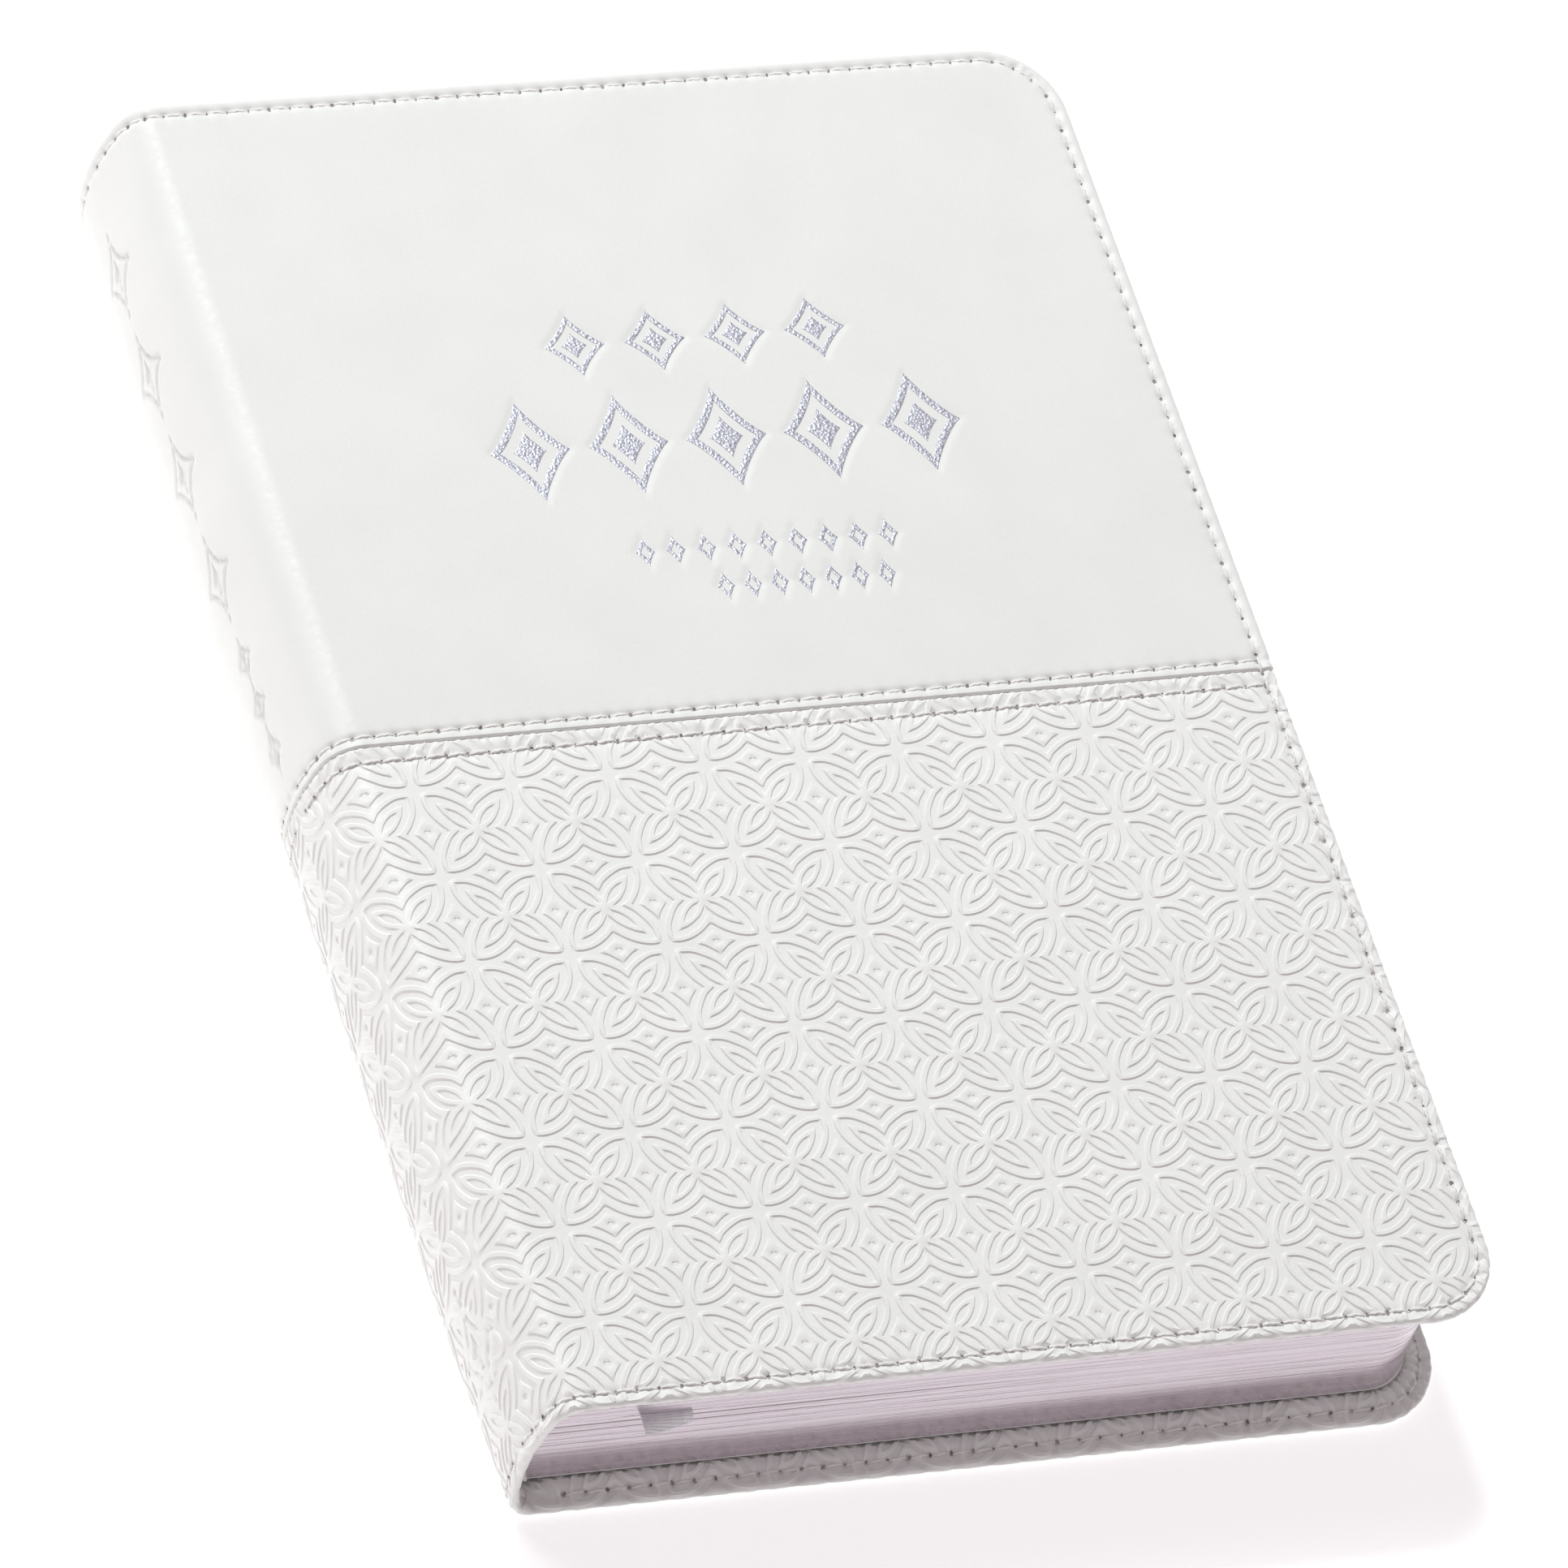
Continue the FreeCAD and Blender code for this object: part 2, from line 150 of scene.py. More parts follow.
def to_edge(u, v):
    """How far inside the cover's edge a point of the sheet is, and the direction out to that edge."""
    across, up = u - (FORE_X - CORNER_R), np.abs(v) - (HALF_H - CORNER_R)
    corner = (across > 0) & (up > 0)
    radius = np.where(corner, np.hypot(across, up), 1.0)
    inset = np.where(corner, CORNER_R - radius, CORNER_R - np.maximum(across, up))
    out_u = np.where(corner, across / radius, across > up)
    out_v = np.where(corner, up / radius, across <= up) * np.sign(v)
    return inset, out_u, out_v


def rolled(inset):
    """How far round the rolled edge a point is, how far past it, and its inset after folding."""
    angle = np.clip((BEAD_R - inset) / BEAD_R, 0, math.pi)
    past = np.maximum(BEAD_R - inset - math.pi * BEAD_R, 0)
    return angle, past, np.where(angle > 0, BEAD_R - BEAD_R * np.sin(angle) + past, inset)


def round_edge(u, v):
    """A point's inset, what rolled says of it, and how far inside the row of stitches it is."""
    inset, _, _ = to_edge(u, v)
    angle, past, folded = rolled(inset)
    return inset, angle, past, folded, np.where(past > 0, folded, inset) - STITCH_INSET


def place(u, v, lift):
    """Points on the folded sheet of the front cover, raised by lift out of the leather."""
    inset, out_u, out_v = to_edge(u, v)
    angle, past, folded = rolled(inset)
    thick = SPINE_LINED + (COVER - SPINE_LINED) * smoothstep(u, SHOULDER_X - 1.5, SHOULDER_X + 4.5)
    depth = BEAD_R * (1 - np.cos(angle)) + (thick - 2 * BEAD_R) * smoothstep(past, 0, 2.6)
    shift = folded - inset
    x, z, nx, nz = section(u - out_u * shift)
    x -= nx * PINCH * smoothstep(np.abs(v), HALF_H - 30, HALF_H)
    up, out = np.cos(angle) * lift, np.sin(angle) * lift
    return stacked(x - nx * depth + nx * up + out * out_u, v - out_v * shift + out * out_v,
                   z - nz * depth + nz * up)


INNER_ROW = -(STITCH_INSET + (math.pi - 2) * BEAD_R)  # where on the sheet the inside row of stitches is
SHEET_EDGE = -(TURNED_IN + (math.pi - 2) * BEAD_R)


def edge_path(p, inset):
    """Where on the sheet the edge's row of stitches is, p along it from the middle of the fore-edge."""
    radius, straight = CORNER_R - STITCH_INSET, HALF_H - CORNER_R
    turn = np.clip((np.abs(p) - straight) / radius, 0, math.pi / 2)
    rest = np.maximum(np.abs(p) - straight - radius * math.pi / 2, 0)
    u = FORE_X - CORNER_R + (CORNER_R - inset) * np.cos(turn) - rest
    v = np.sign(p) * (np.minimum(np.abs(p), straight) + (CORNER_R - inset) * np.sin(turn))
    return u, v


def along_edge(u, v):
    """The p of edge_path for a point near the edge, and how far round the corner it is."""
    across, up = u - (FORE_X - CORNER_R), np.abs(v) - (HALF_H - CORNER_R)
    turn = np.where((up > 0) | (across > 0), np.arctan2(np.maximum(up, 0), np.maximum(across, 1e-9)), 0)
    p = np.minimum(np.abs(v), HALF_H - CORNER_R) + (CORNER_R - STITCH_INSET) * turn + np.maximum(-across, 0)
    return p, turn


# -------- relief of the leather

def wander(p, seed):
    """A smooth wandering value between -1 and 1."""
    return (np.sin(p * 1.31 + seed) + np.sin(p * 0.57 + 2.1 * seed) + np.sin(p * 2.37 + 0.7 * seed)) / 3


# Dents of a row of stitches: how deep each is, and how wide
CHANNEL, CHANNEL_WIDE = 0.20, 0.48
HOLE, HOLE_WIDE = 0.45, 0.32
PUCKER, PUCKER_ACROSS, PUCKER_ALONG = 0.12, 1.15, 0.7
CREASE, CREASE_WIDE = 0.05, 1.5

# Other dents: gathers at a corner outside and inside, the hem under the pastedown, slow waves, and the seam
GATHER_OUT, GATHER_IN = 0.12, 0.72
HEM, SLOW_WAVE = 0.5, 0.05
SEAM_ROLL, SEAM_ROLL_WIDE = 0.64, 0.27
UNDER_SEAM = 0.45  # how deep the embossed leather lies where it passes under the smooth one


def row_dent(across, p, half_step):
    """How a row of stitches pulls the leather down: a channel, needle holes, and puckers round them."""
    step = p / STITCH_PITCH - half_step
    hole = np.abs(step - np.round(step)) * STITCH_PITCH
    channel = CHANNEL * np.exp(-(across / CHANNEL_WIDE) ** 2)
    holes = HOLE * np.exp(-(across**2 + hole**2) / HOLE_WIDE**2)
    pucker = PUCKER * np.exp(-(across / PUCKER_ACROSS) ** 2) * np.exp(-(hole / PUCKER_ALONG) ** 2)
    crease = CREASE * np.exp(-(across / CREASE_WIDE) ** 2) * wander(p * 2.6 + across * 1.5, 3.0)
    return channel + holes + pucker + crease


def star(du, dv, half_u, half_v, bow=0.86):
    """Size of the four-pointed star with hollow sides, centred at 0, that passes through a point."""
    return (np.abs(du / half_u) ** bow + np.abs(dv / half_v) ** bow) ** (1 / bow)


def star_reach(half_u, half_v):
    """How far the straight side of a rhombus with these half sizes is from its centre."""
    return half_u * half_v / math.hypot(half_u, half_v)


def star_marks():
    """The stamped ornament: rows of stars, as (u, v, half width, half height), as in the frame."""
    rows = ((61.2, -19.2, 25.8, 4, 5.2, 4.6), (44.3, -32.2, 37.8, 5, 8.4, 6.0),
            (26.4, -16.2, 22.8, 9, 2.5, 1.5), (19.9, -6.2, 20.4, 7, 2.5, 1.4))
    marks = []
    for v, u0, u1, count, half_v, half_u in rows:
        step = (u1 - u0 - 2 * half_u) / (count - 1)
        marks += [(u0 + half_u + i * step, v, half_u, half_v) for i in range(count)]
    return marks


# The marks pressed into the spine, as (v, half width, half height)
SPINE_MARKS = [(87.7 - 17.0 * i, 5.2, 6.4) for i in range(4)] + [(23.2 - 7.5 * i, 3.0, 3.0) for i in range(3)]
FOOT_MARK = (-88.3, 6.2, 7.4)
STAMP_DEPTH, BLIND_LINE, BLIND_CORE = 0.15, 0.36, 0.32  # how deep the foil, a mark's line and its middle lie
SPINE_BOW = 0.62  # how hollow the sides of the spine's marks are
CORE_SHARE = 0.36  # size of a mark's middle


def stamped(u, v):
    """The ornament's recess in the front cover."""
    depth = np.zeros_like(u)
    for mu, mv, half_u, half_v in star_marks():
        outside = (star(u - mu, v - mv, half_u, half_v) - 1) * star_reach(half_u, half_v)
        depth = np.maximum(depth, STAMP_DEPTH * (1 - smoothstep(outside, 0.20, 0.65)))
    return depth


def blind_marks(u, v, marks):
    """Outlines of stars pressed into the spine."""
    depth, across = np.zeros_like(u), (u - U_MID) * ROUND_SCALE
    for mv, half_u, half_v in marks:
        size = star(across, v - mv, half_u, half_v, SPINE_BOW)
        line, core = ((size - share) * star_reach(half_u, half_v) for share in (1, CORE_SHARE))
        depth = np.maximum(depth, BLIND_LINE * np.exp(-(line / 0.38) ** 2))
        depth = np.maximum(depth, BLIND_CORE * (1 - smoothstep(core, -0.2, 0.35)))
    return depth


def corner_share(u, v):
    """1 in the middle of a rounded corner, 0 where the edges are straight."""
    _, turn = along_edge(u, v)
    return np.sin(2 * turn) ** 0.8 * (turn > 0) * (turn < math.pi / 2 - 1e-6)


def common_lift(u, v):
    """What both leathers share: dents of the edge's stitches, gathered corners, and the pastedown's hem."""
    inset, angle, past, folded, from_row = round_edge(u, v)
    p, turn = along_edge(u, v)
    dent = np.where((angle <= 0) | (past > 0), row_dent(from_row, p, 0.5), 0)
    wave = 0.03 * np.cos(math.pi * (p / STITCH_PITCH - 0.5)) ** 2
    bead = wave * np.exp(-((angle - 0.9) / 0.9) ** 2) * (angle > 0)
    fold = 0.5 + 0.5 * np.cos(34 * turn + 2.0 * wander(turn * 9, 1.7))
    gather = corner_share(u, v) * (GATHER_OUT * fold**2 * smoothstep(-inset, -4.5, -1.0) * (angle <= 0)
                                   + GATHER_IN * fold * smoothstep(-inset, 0.5, 2.5))
    hem = HEM * smoothstep(folded, PASTE_INSET - 0.5, PASTE_INSET + 0.1) * (past > 0)
    slow = SLOW_WAVE * (1 + wander(u * 0.05 + v * 0.033, 5.0)) * smoothstep(inset, 3, 12)
    return -dent - bead - gather - hem - slow


def seam_lift(u, v, row):
    """The dents of one row along the seam, and the smooth leather's edge rolled down into the seam."""
    roll = np.clip(1 - (v - SEAM_Y + SEAM_LAP) / SEAM_ROLL_WIDE, 0, 1) * (row > 0)
    outside = 1 - smoothstep(-to_edge(u, v)[0], 0.6, 2.0)
    return -(row_dent(v - SEAM_Y - row, u, 0.0) + SEAM_ROLL * roll**2) * outside


def smooth_lift(u, v, front):
    depth = blind_marks(u, v, SPINE_MARKS)
    if front:
        depth += stamped(u, v)
    return common_lift(u, v) + seam_lift(u, v, SEAM_ROWS[0]) - depth


def embossed_lift(u, v, height):
    """height is 0 in the valleys of the pattern and 1 on its bands."""
    inset, angle, past, _, from_row = round_edge(u, v)
    strength = 1 - 0.80 * np.sin(angle) ** 0.7 + 0.6 * smoothstep(past, 0, 0.6)
    strength *= 1 - 0.5 * np.exp(-(from_row / 0.5) ** 2)
    strength *= 0.65 + 0.35 * smoothstep(SEAM_Y - v, -SEAM_ROWS[1] - 0.2, -SEAM_ROWS[1] + 0.5)
    strength *= 1 - 0.7 * np.exp(-((v - SEAM_Y - SEAM_ROWS[1]) / 0.4) ** 2)
    strength *= smoothstep(SEAM_Y - v, 0.1, 0.5)
    strength *= 1 - corner_share(u, v) * smoothstep(-inset, 0.5, 2.0)
    mark_v, half_u, half_v = FOOT_MARK
    patch = star((u - U_MID) * ROUND_SCALE, v - mark_v, half_u * 1.1, half_v * 1.1)
    strength *= smoothstep(patch, 0.95, 1.15)
    low = RELIEF * (height - 1) * strength - RELIEF * 0.5 * (1 - strength) * (past <= 0)
    return common_lift(u, v) + seam_lift(u, v, SEAM_ROWS[1]) + low - blind_marks(u, v, [FOOT_MARK])


# -------- the embossed pattern

# Edges of the raised bands in a quarter of a tile, in tiles from the flower's centre. All but the diamonds
# run from the line u = 0 to the diagonal, and are mirrored there.
LEAF = ((0.037, 0.037), (0.077, 0.123), (0.135, 0.190), (0.193, 0.232), (0.256, 0.256))
PETAL = ((0.0, 0.085), (0.060, 0.172), (0.118, 0.227), (0.218, 0.293), (0.335, 0.335))
RING_IN = ((0.0, 0.182), (0.062, 0.267), (0.118, 0.311), (0.180, 0.352), (0.290, 0.405), (0.416, 0.416))
RING_OUT = ((0.0, 0.277), (0.060, 0.335), (0.143, 0.393), (0.227, 0.435), (0.310, 0.458), (0.385, 0.464),
            (0.425, 0.455), (0.445, 0.445))
DIAMOND = ((0.0, 0.362), (0.055, 0.410), (0.120, 0.462), (0.200, 0.503))
DIAMOND_IN = ((0.0, 0.444), (0.055, 0.503))
WALL = 0.0068  # half the width of the steep edge of a band


def spline(points, step):
    """A smooth curve through the points, sampled about step apart."""
    pts = np.array(points, float)
    ends = np.vstack([2 * pts[0] - pts[1], pts, 2 * pts[-1] - pts[-2]])
    made = []
    for a, b, c, d in zip(ends, ends[1:], ends[2:], ends[3:]):
        t = np.linspace(0, 1, max(2, int(np.linalg.norm(c - b) / step * 4)), endpoint=False)[:, None]
        made.append(0.5 * (2 * b + (c - a) * t + (2 * a - 5 * b + 4 * c - d) * t**2
                           + (3 * b - a - 3 * c + d) * t**3))
    made = np.vstack(made + [pts[-1:]])
    length = np.concatenate([[0], np.cumsum(np.linalg.norm(np.diff(made, axis=0), axis=1))])
    at = np.linspace(0, length[-1], max(2, int(round(length[-1] / step)) + 1))
    return stacked(*(np.interp(at, length, made[:, k]) for k in (0, 1)))


def with_mirror(half):
    """A curve from u = 0 to the diagonal, continued to v = 0."""
    return np.vstack([half, half[::-1][1:, ::-1]])


def distance(points, curve):
    """Distance of each point from a polyline."""
    best = np.full(len(points), 1e9)
    for a, b in zip(curve, curve[1:]):
        t = np.clip(((points - a) @ (b - a)) / max((b - a) @ (b - a), 1e-12), 0, 1)
        best = np.minimum(best, np.linalg.norm(points - a - t[:, None] * (b - a), axis=1))
    return best


def inside(points, loop):
    """Whether each point is inside a closed loop."""
    found = np.zeros(len(points), bool)
    for a, b in zip(loop, np.roll(loop, -1, axis=0)):
        crosses = (a[1] > points[:, 1]) != (b[1] > points[:, 1])
        rise = b[1] - a[1] if b[1] != a[1] else 1e-12
        found ^= crosses & (points[:, 0] < a[0] + (points[:, 1] - a[1]) / rise * (b[0] - a[0]))
    return found


def band_edges(step):
    """The pattern's edges in a quarter tile: (curve, loop that it closes, 1 if raised inside, else -1)."""
    leaf = with_mirror(spline(LEAF, step))
    edges = [(leaf, leaf, -1)]
    for points, sign in ((PETAL, 1), (RING_IN, -1), (RING_OUT, 1)):
        curve = with_mirror(spline(points, step))
        edges.append((curve, np.vstack([curve, [0, 0]]), sign))
    for points, sign in ((DIAMOND, 1), (DIAMOND_IN, -1)):
        curve = spline(points, step)
        for c, corner in ((curve, [[0.0, 0.52]]), (curve[:, ::-1], [[0.52, 0.0]])):
            edges.append((c, np.vstack([c, [c[-1] + 0.02 * (c[-1] > 0.49)], corner]), sign))
    return edges


def pattern_height(points, edges):
    """0 in the valleys and 1 on the bands, with a crisp foot and a rounded shoulder."""
    height = np.zeros(len(points))
    for curve, loop, sign in edges:
        gap = distance(points, curve) * np.where(inside(points, loop), 1, -1) * sign
        rise = 0.76 * smoothstep(gap, -WALL, WALL) + 0.24 * smoothstep(gap, 0.0, 0.045)
        height += rise if sign > 0 else rise - 1
    return np.clip(height, 0, 1)


def quarter_tile():
    """The pattern's mesh in a quarter of a tile: points in tiles, triangles, and heights."""
    kept = np.array([[0.0, 0.0], [0.5, 0.0], [0.0, 0.5], [0.5, 0.5]])

    def add(points, gap, own_gap):
        """Keeps the points that are gap away from all kept before and own_gap from each other."""
        nonlocal kept
        before = kept
        for q in points:
            q = np.where(q < 0.008, 0.0, np.where(q > 0.492, 0.5, q))
            clear = np.min(np.linalg.norm(before - q, axis=1)) > gap
            if clear and np.min(np.linalg.norm(kept - q, axis=1)) > own_gap:
                kept = np.vstack([kept, q])

    for curve, _, _ in band_edges(0.038):
        ahead = np.gradient(curve, axis=0)
        side = stacked(-ahead[:, 1], ahead[:, 0]) / np.linalg.norm(ahead, axis=1)[:, None]
        moved = np.vstack([curve + side * WALL, curve - side * WALL])
        ok = np.all((moved > -0.001) & (moved < 0.501), axis=1)
        ok &= distance(moved, curve) > WALL * 0.93
        add(moved[ok], 0.0165, 0.0125)
    line = np.arange(0.0, 0.501, 0.025)
    zero, half = np.zeros_like(line), np.full_like(line, 0.5)
    for q in ((line, zero), (line, half), (zero, line), (half, line)):
        add(stacked(*q), 0.019, 0.021)
    fill = np.arange(0.02, 0.49, 0.03)
    gu, gv = np.meshgrid(fill, fill)
    gu[::2] += 0.015
    add(stacked(gu.ravel(), gv.ravel()), 0.026, 0.026)
    corners, _, triangles, *_ = delaunay_2d_cdt([Vector(q) for q in kept], [], [], 0, 1e-7)
    points, triangles = np.array([list(q) for q in corners]), np.array([list(t) for t in triangles])
    return points, triangles, pattern_height(points, band_edges(0.012))


def pattern_sheet(rows, columns):
    """The quarter tile repeated and mirrored over the sheet, down from the seam and out from the spine."""
    q, triangles, height = quarter_tile()
    points, faces, heights = [], [], []
    for i in range(columns):
        for j in range(rows):
            across = i / 2 + (q[:, 0] if i % 2 == 0 else 0.5 - q[:, 0])
            down = j / 2 + (q[:, 1] if j % 2 == 0 else 0.5 - q[:, 1])
            flip = (i + j) % 2 == 0
            faces.append((triangles[:, ::-1] if flip else triangles) + len(points) * len(q))
            points.append(stacked(U_MID + across * TILE, PATTERN_TOP - down * TILE))
            heights.append(height)
    points, faces, heights = np.vstack(points), np.vstack(faces), np.concatenate(heights)
    _, first, inverse = np.unique(np.round(points, 3), axis=0, return_index=True, return_inverse=True)
    return points[first], inverse.ravel()[faces], heights[first]


# -------- meshes

def circle(steps):
    return np.linspace(0, 2 * math.pi, steps, endpoint=False)


def grid_faces(rows, columns, closed=False):
    """The quads of rows x columns points; closed joins the last column to the first."""
    i, j = np.meshgrid(np.arange(rows - 1), np.arange(columns if closed else columns - 1), indexing="ij")
    k = (j + 1) % columns
    quads = stacked(i * columns + j, i * columns + k, (i + 1) * columns + k, (i + 1) * columns + j)
    return quads.reshape(-1, 4)


def end_cap(count):
    """Quads across the first ring of count points, from one half of the ring to the other."""
    k = np.arange(count // 2 - 1)
    return stacked(k, k + 1, count - 2 - k, count - 1 - k)


def bar_faces(points):
    """The quads round a bar of rings x steps points, closed at both ends."""
    rings, around, _ = points.shape
    cap = end_cap(around)
    return np.vstack([grid_faces(rings, around, closed=True), cap[:, ::-1], cap + (rings - 1) * around])


def add_object(name, data):
    made = bpy.data.objects.new(name, data)
    bpy.context.scene.collection.objects.link(made)
    return made


def add_piece(name, points, faces, looks, look_of_face=None, sharp=None):
    """A mesh piece from points in millimetres. Edges that bend more than sharp degrees are left crisp."""
    mesh = bpy.data.meshes.new(name)
    mesh.from_pydata((points * MM).tolist(), [], faces.tolist())
    for look in looks if isinstance(looks, list) else [looks]:
        mesh.materials.append(look)
    if look_of_face is not None:
        mesh.polygons.foreach_set("material_index", look_of_face.astype(np.int32))
    mesh.validate()
    mesh.shade_smooth()
    if sharp:
        mesh.set_sharp_from_angle(angle=math.radians(sharp))
    return add_object(name, mesh)


def to_back(points):
    """Points of the front cover, mirrored to the back one."""
    return points * [1, 1, -1] + [0, 0, TOP]


def on_cover(side, points, faces):
    """A mesh drawn on the front cover, mirrored if it is for the back one."""
    return (points, faces) if side == "front" else (to_back(points), faces[:, ::-1])


def cut_to_sheet(u, v, faces):
    """Drops faces past the edge of the sheet and draws the last points back to it."""
    inset, out_u, out_v = to_edge(u, v)
    over = np.minimum(inset - SHEET_EDGE, 0)
    faces = faces[(over[faces] == 0).any(axis=1)]
    return u + out_u * over, v + out_v * over, faces


def compact(points, faces):
    """Leaves out the points that no face uses."""
    used, index = np.unique(faces, return_inverse=True)
    return points[used], index.reshape(faces.shape)


def turns_with(piece, side, body=None):
    """Bakes a piece's placement into its mesh."""
    body = body or side + "_cover"
    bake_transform(piece)


def spaced(*stretches):
    """Positions along a line: (start, end, step) for each stretch."""
    parts = [np.linspace(a, b, max(2, round(abs(b - a) / step) + 1)) for a, b, step in stretches]
    return np.unique(np.round(np.concatenate(parts), 4))


def leather_smooth(side, look):
    """The smooth leather from the seam to the head, finest at the seam, the ornament and the rolled edges."""
    us = spaced((U_MID, SHOULDER_X + 2, 0.36), (SHOULDER_X + 2, FORE_X - 5, 0.50),
                (FORE_X - 5, FORE_X + 8.6, 0.32))
    vs = spaced((SEAM_Y - SEAM_LAP, SEAM_Y + 0.4, 0.08), (SEAM_Y + 0.4, SEAM_Y + 4.2, 0.30),
                (SEAM_Y + 4.2, 14, 0.75), (14, 96, 0.50), (96, HALF_H - 5.5, 0.75),
                (HALF_H - 5.5, HALF_H + 8.6, 0.32))
    u, v = (a.ravel() for a in np.meshgrid(us, vs, indexing="ij"))
    u, v, faces = cut_to_sheet(u, v, grid_faces(len(us), len(vs)))
    points = place(u, v, smooth_lift(u, v, side == "front"))
    points, faces = compact(*on_cover(side, points, faces))
    piece = add_piece(side + "_smooth_leather", points, faces, look)
    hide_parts(side + "_leather_smooth", "spine_leather_smooth")
    turns_with(piece, side)


def leather_embossed(side, sheet, look):
    """The embossed leather below the seam. Its first row is stretched to reach under the smooth leather."""
    points, faces, height = sheet
    row = SEAM_Y + SEAM_ROWS[1]
    stretch = (SEAM_Y + SEAM_LAP - PATTERN_TOP) * np.clip((points[:, 1] - row) / (PATTERN_TOP - row), 0, 1)
    u, v, faces = cut_to_sheet(points[:, 0], points[:, 1] + stretch, faces)
    points = place(u, v, embossed_lift(u, v, height) - UNDER_SEAM * (v > SEAM_Y))
    points, faces = compact(*on_cover(side, points, faces))
    piece = add_piece(side + "_embossed_leather", points, faces, look, sharp=30)
    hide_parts(side + "_leather_embossed", "spine_leather_embossed")
    turns_with(piece, side)


# -------- stitches

THREAD_R, PLY, PLY_TURNS = 0.21, 0.26, 8.5  # radius of the thread, and its two plies' relief and twist
FLATNESS = 0.85  # height of a stitch for a width of 1
STITCH_SPAN, STITCH_LEAN = 0.90, 0.22  # share of the pitch between a stitch's ends, and how far it slants
STITCH_LOW, STITCH_RISE = -0.64, 0.42  # how deep the ends of a stitch are, and how far it rises between them
# The looks of the thread, and of the pits in the needle holes, which are painted dark as the shade inside
# them
THREAD_LOOK, HOLE_SHADE_LOOK = 0, 1


def tubes(points, look):
    """A part of thread_piece, from points of tubes x rings x steps round each ring."""
    count, rings, around, _ = points.shape
    faces = grid_faces(rings, around, closed=True) + (np.arange(count) * rings * around)[:, None, None]
    return points.reshape(-1, 3), faces.reshape(-1, 4), look


def twisted_thread(u, v, lift):
    """Two-ply stitches along lines on the sheet. u, v and lift are arrays of stitches x steps along each."""
    around = 10
    centre = place(u, v, lift)
    normal = place(u, v, lift + 0.01) - centre
    normal /= np.linalg.norm(normal, axis=-1, keepdims=True)
    ahead = np.gradient(centre, axis=1)
    side = np.cross(ahead, normal)
    side /= np.linalg.norm(side, axis=-1, keepdims=True)
    t = np.linspace(0, 1, u.shape[1])[:, None, None]
    phi = circle(around)[:, None]
    spin = rng.uniform(0, 6, (len(u), 1, 1, 1))
    r = THREAD_R * (1 + PLY * np.cos(2 * (phi - PLY_TURNS * t - spin)))
    r *= np.sin(math.pi * np.clip(t, 0.02, 0.98)) ** 0.28
    centre, side, normal = centre[:, :, None], side[:, :, None], normal[:, :, None]
    return tubes(centre + r * (np.cos(phi) * side + FLATNESS * np.sin(phi) * normal), THREAD_LOOK)


def needle_hole_shades(u, v):
    """Pits at the points (u, v) that the stitches dive into, painted dark as the shade inside the needle
    holes.
    """
    around = 9
    rings = ((1.15, -0.34), (1.0, -0.27), (0.75, -0.33), (0.4, -0.42), (0.02, -0.45))  # share of radius, lift
    phi = circle(around)
    radius = rng.uniform(0.12, 0.25, (len(u), 1, 1))
    radius = radius * (1 + 0.25 * np.cos(2 * phi + rng.uniform(0, 6, (len(u), 1, 1))))
    share, lift = (np.array(c)[:, None] for c in zip(*rings))
    pu, pv = u[:, None, None] + share * radius * np.cos(phi), v[:, None, None] + share * radius * np.sin(phi)
    return tubes(place(pu, pv, lift), HOLE_SHADE_LOOK)


def row_of_stitches(first, last, half_step, where, aside):
    """Needle holes from first to last along a line, with pits painted dark as their shade, and the stitches
    between them.

    where(p) is a place on the sheet, p along the line, and aside(u, v) the direction in which stitches lean.
    """
    steps = 11
    low, high = first / STITCH_PITCH - half_step, last / STITCH_PITCH - half_step
    hole = np.arange(math.ceil(low), math.floor(high) + 1)
    stitch = hole[:-1, None]
    t = np.linspace(0.0, 1.0, steps)
    u, v = where((stitch + half_step + 0.5 + (t - 0.5) * STITCH_SPAN) * STITCH_PITCH)
    lean = (t - 0.5) * STITCH_LEAN + rng.uniform(-0.04, 0.04, stitch.shape)
    lift = STITCH_LOW + STITCH_RISE * np.sin(math.pi * t) ** 0.5 + rng.uniform(-0.03, 0.03, stitch.shape)
    holes = where((hole + half_step) * STITCH_PITCH + rng.uniform(-0.08, 0.08, len(hole)))
    aside_u, aside_v = aside(u, v)
    return [twisted_thread(u + aside_u * lean, v + aside_v * lean, lift), needle_hole_shades(*holes)]


def edge_rows(inset, spine):
    """The edge's stitches at one inset: the straight runs by the spine as well if spine is true."""
    end = HALF_H - CORNER_R + (CORNER_R - STITCH_INSET) * math.pi / 2 + FORE_X - CORNER_R
    end -= U_MID if spine else SHOULDER_X + 2.0
    return row_of_stitches(-end, end, 0.5, lambda p: edge_path(p, inset), lambda u, v: to_edge(u, v)[1:])


def seam_row(row):
    return row_of_stitches(U_MID, FORE_X + 0.3, 0.0, lambda p: (p, np.full_like(p, SEAM_Y + row)),
                           lambda u, v: (0, 1))


def thread_piece(name, parts, side, looks, *nodes):
    """One piece of parts: points, faces, and which of the looks the part has."""
    points = np.vstack([p for p, _, _ in parts])
    starts = np.cumsum([0] + [len(p) for p, _, _ in parts[:-1]])
    faces = np.vstack([f + s for (_, f, _), s in zip(parts, starts)])
    look_of_face = np.concatenate([np.full(len(f), look) for _, f, look in parts])
    piece = add_piece(name, *on_cover(side, points, faces), looks, look_of_face)
    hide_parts(*nodes)
    turns_with(piece, side)


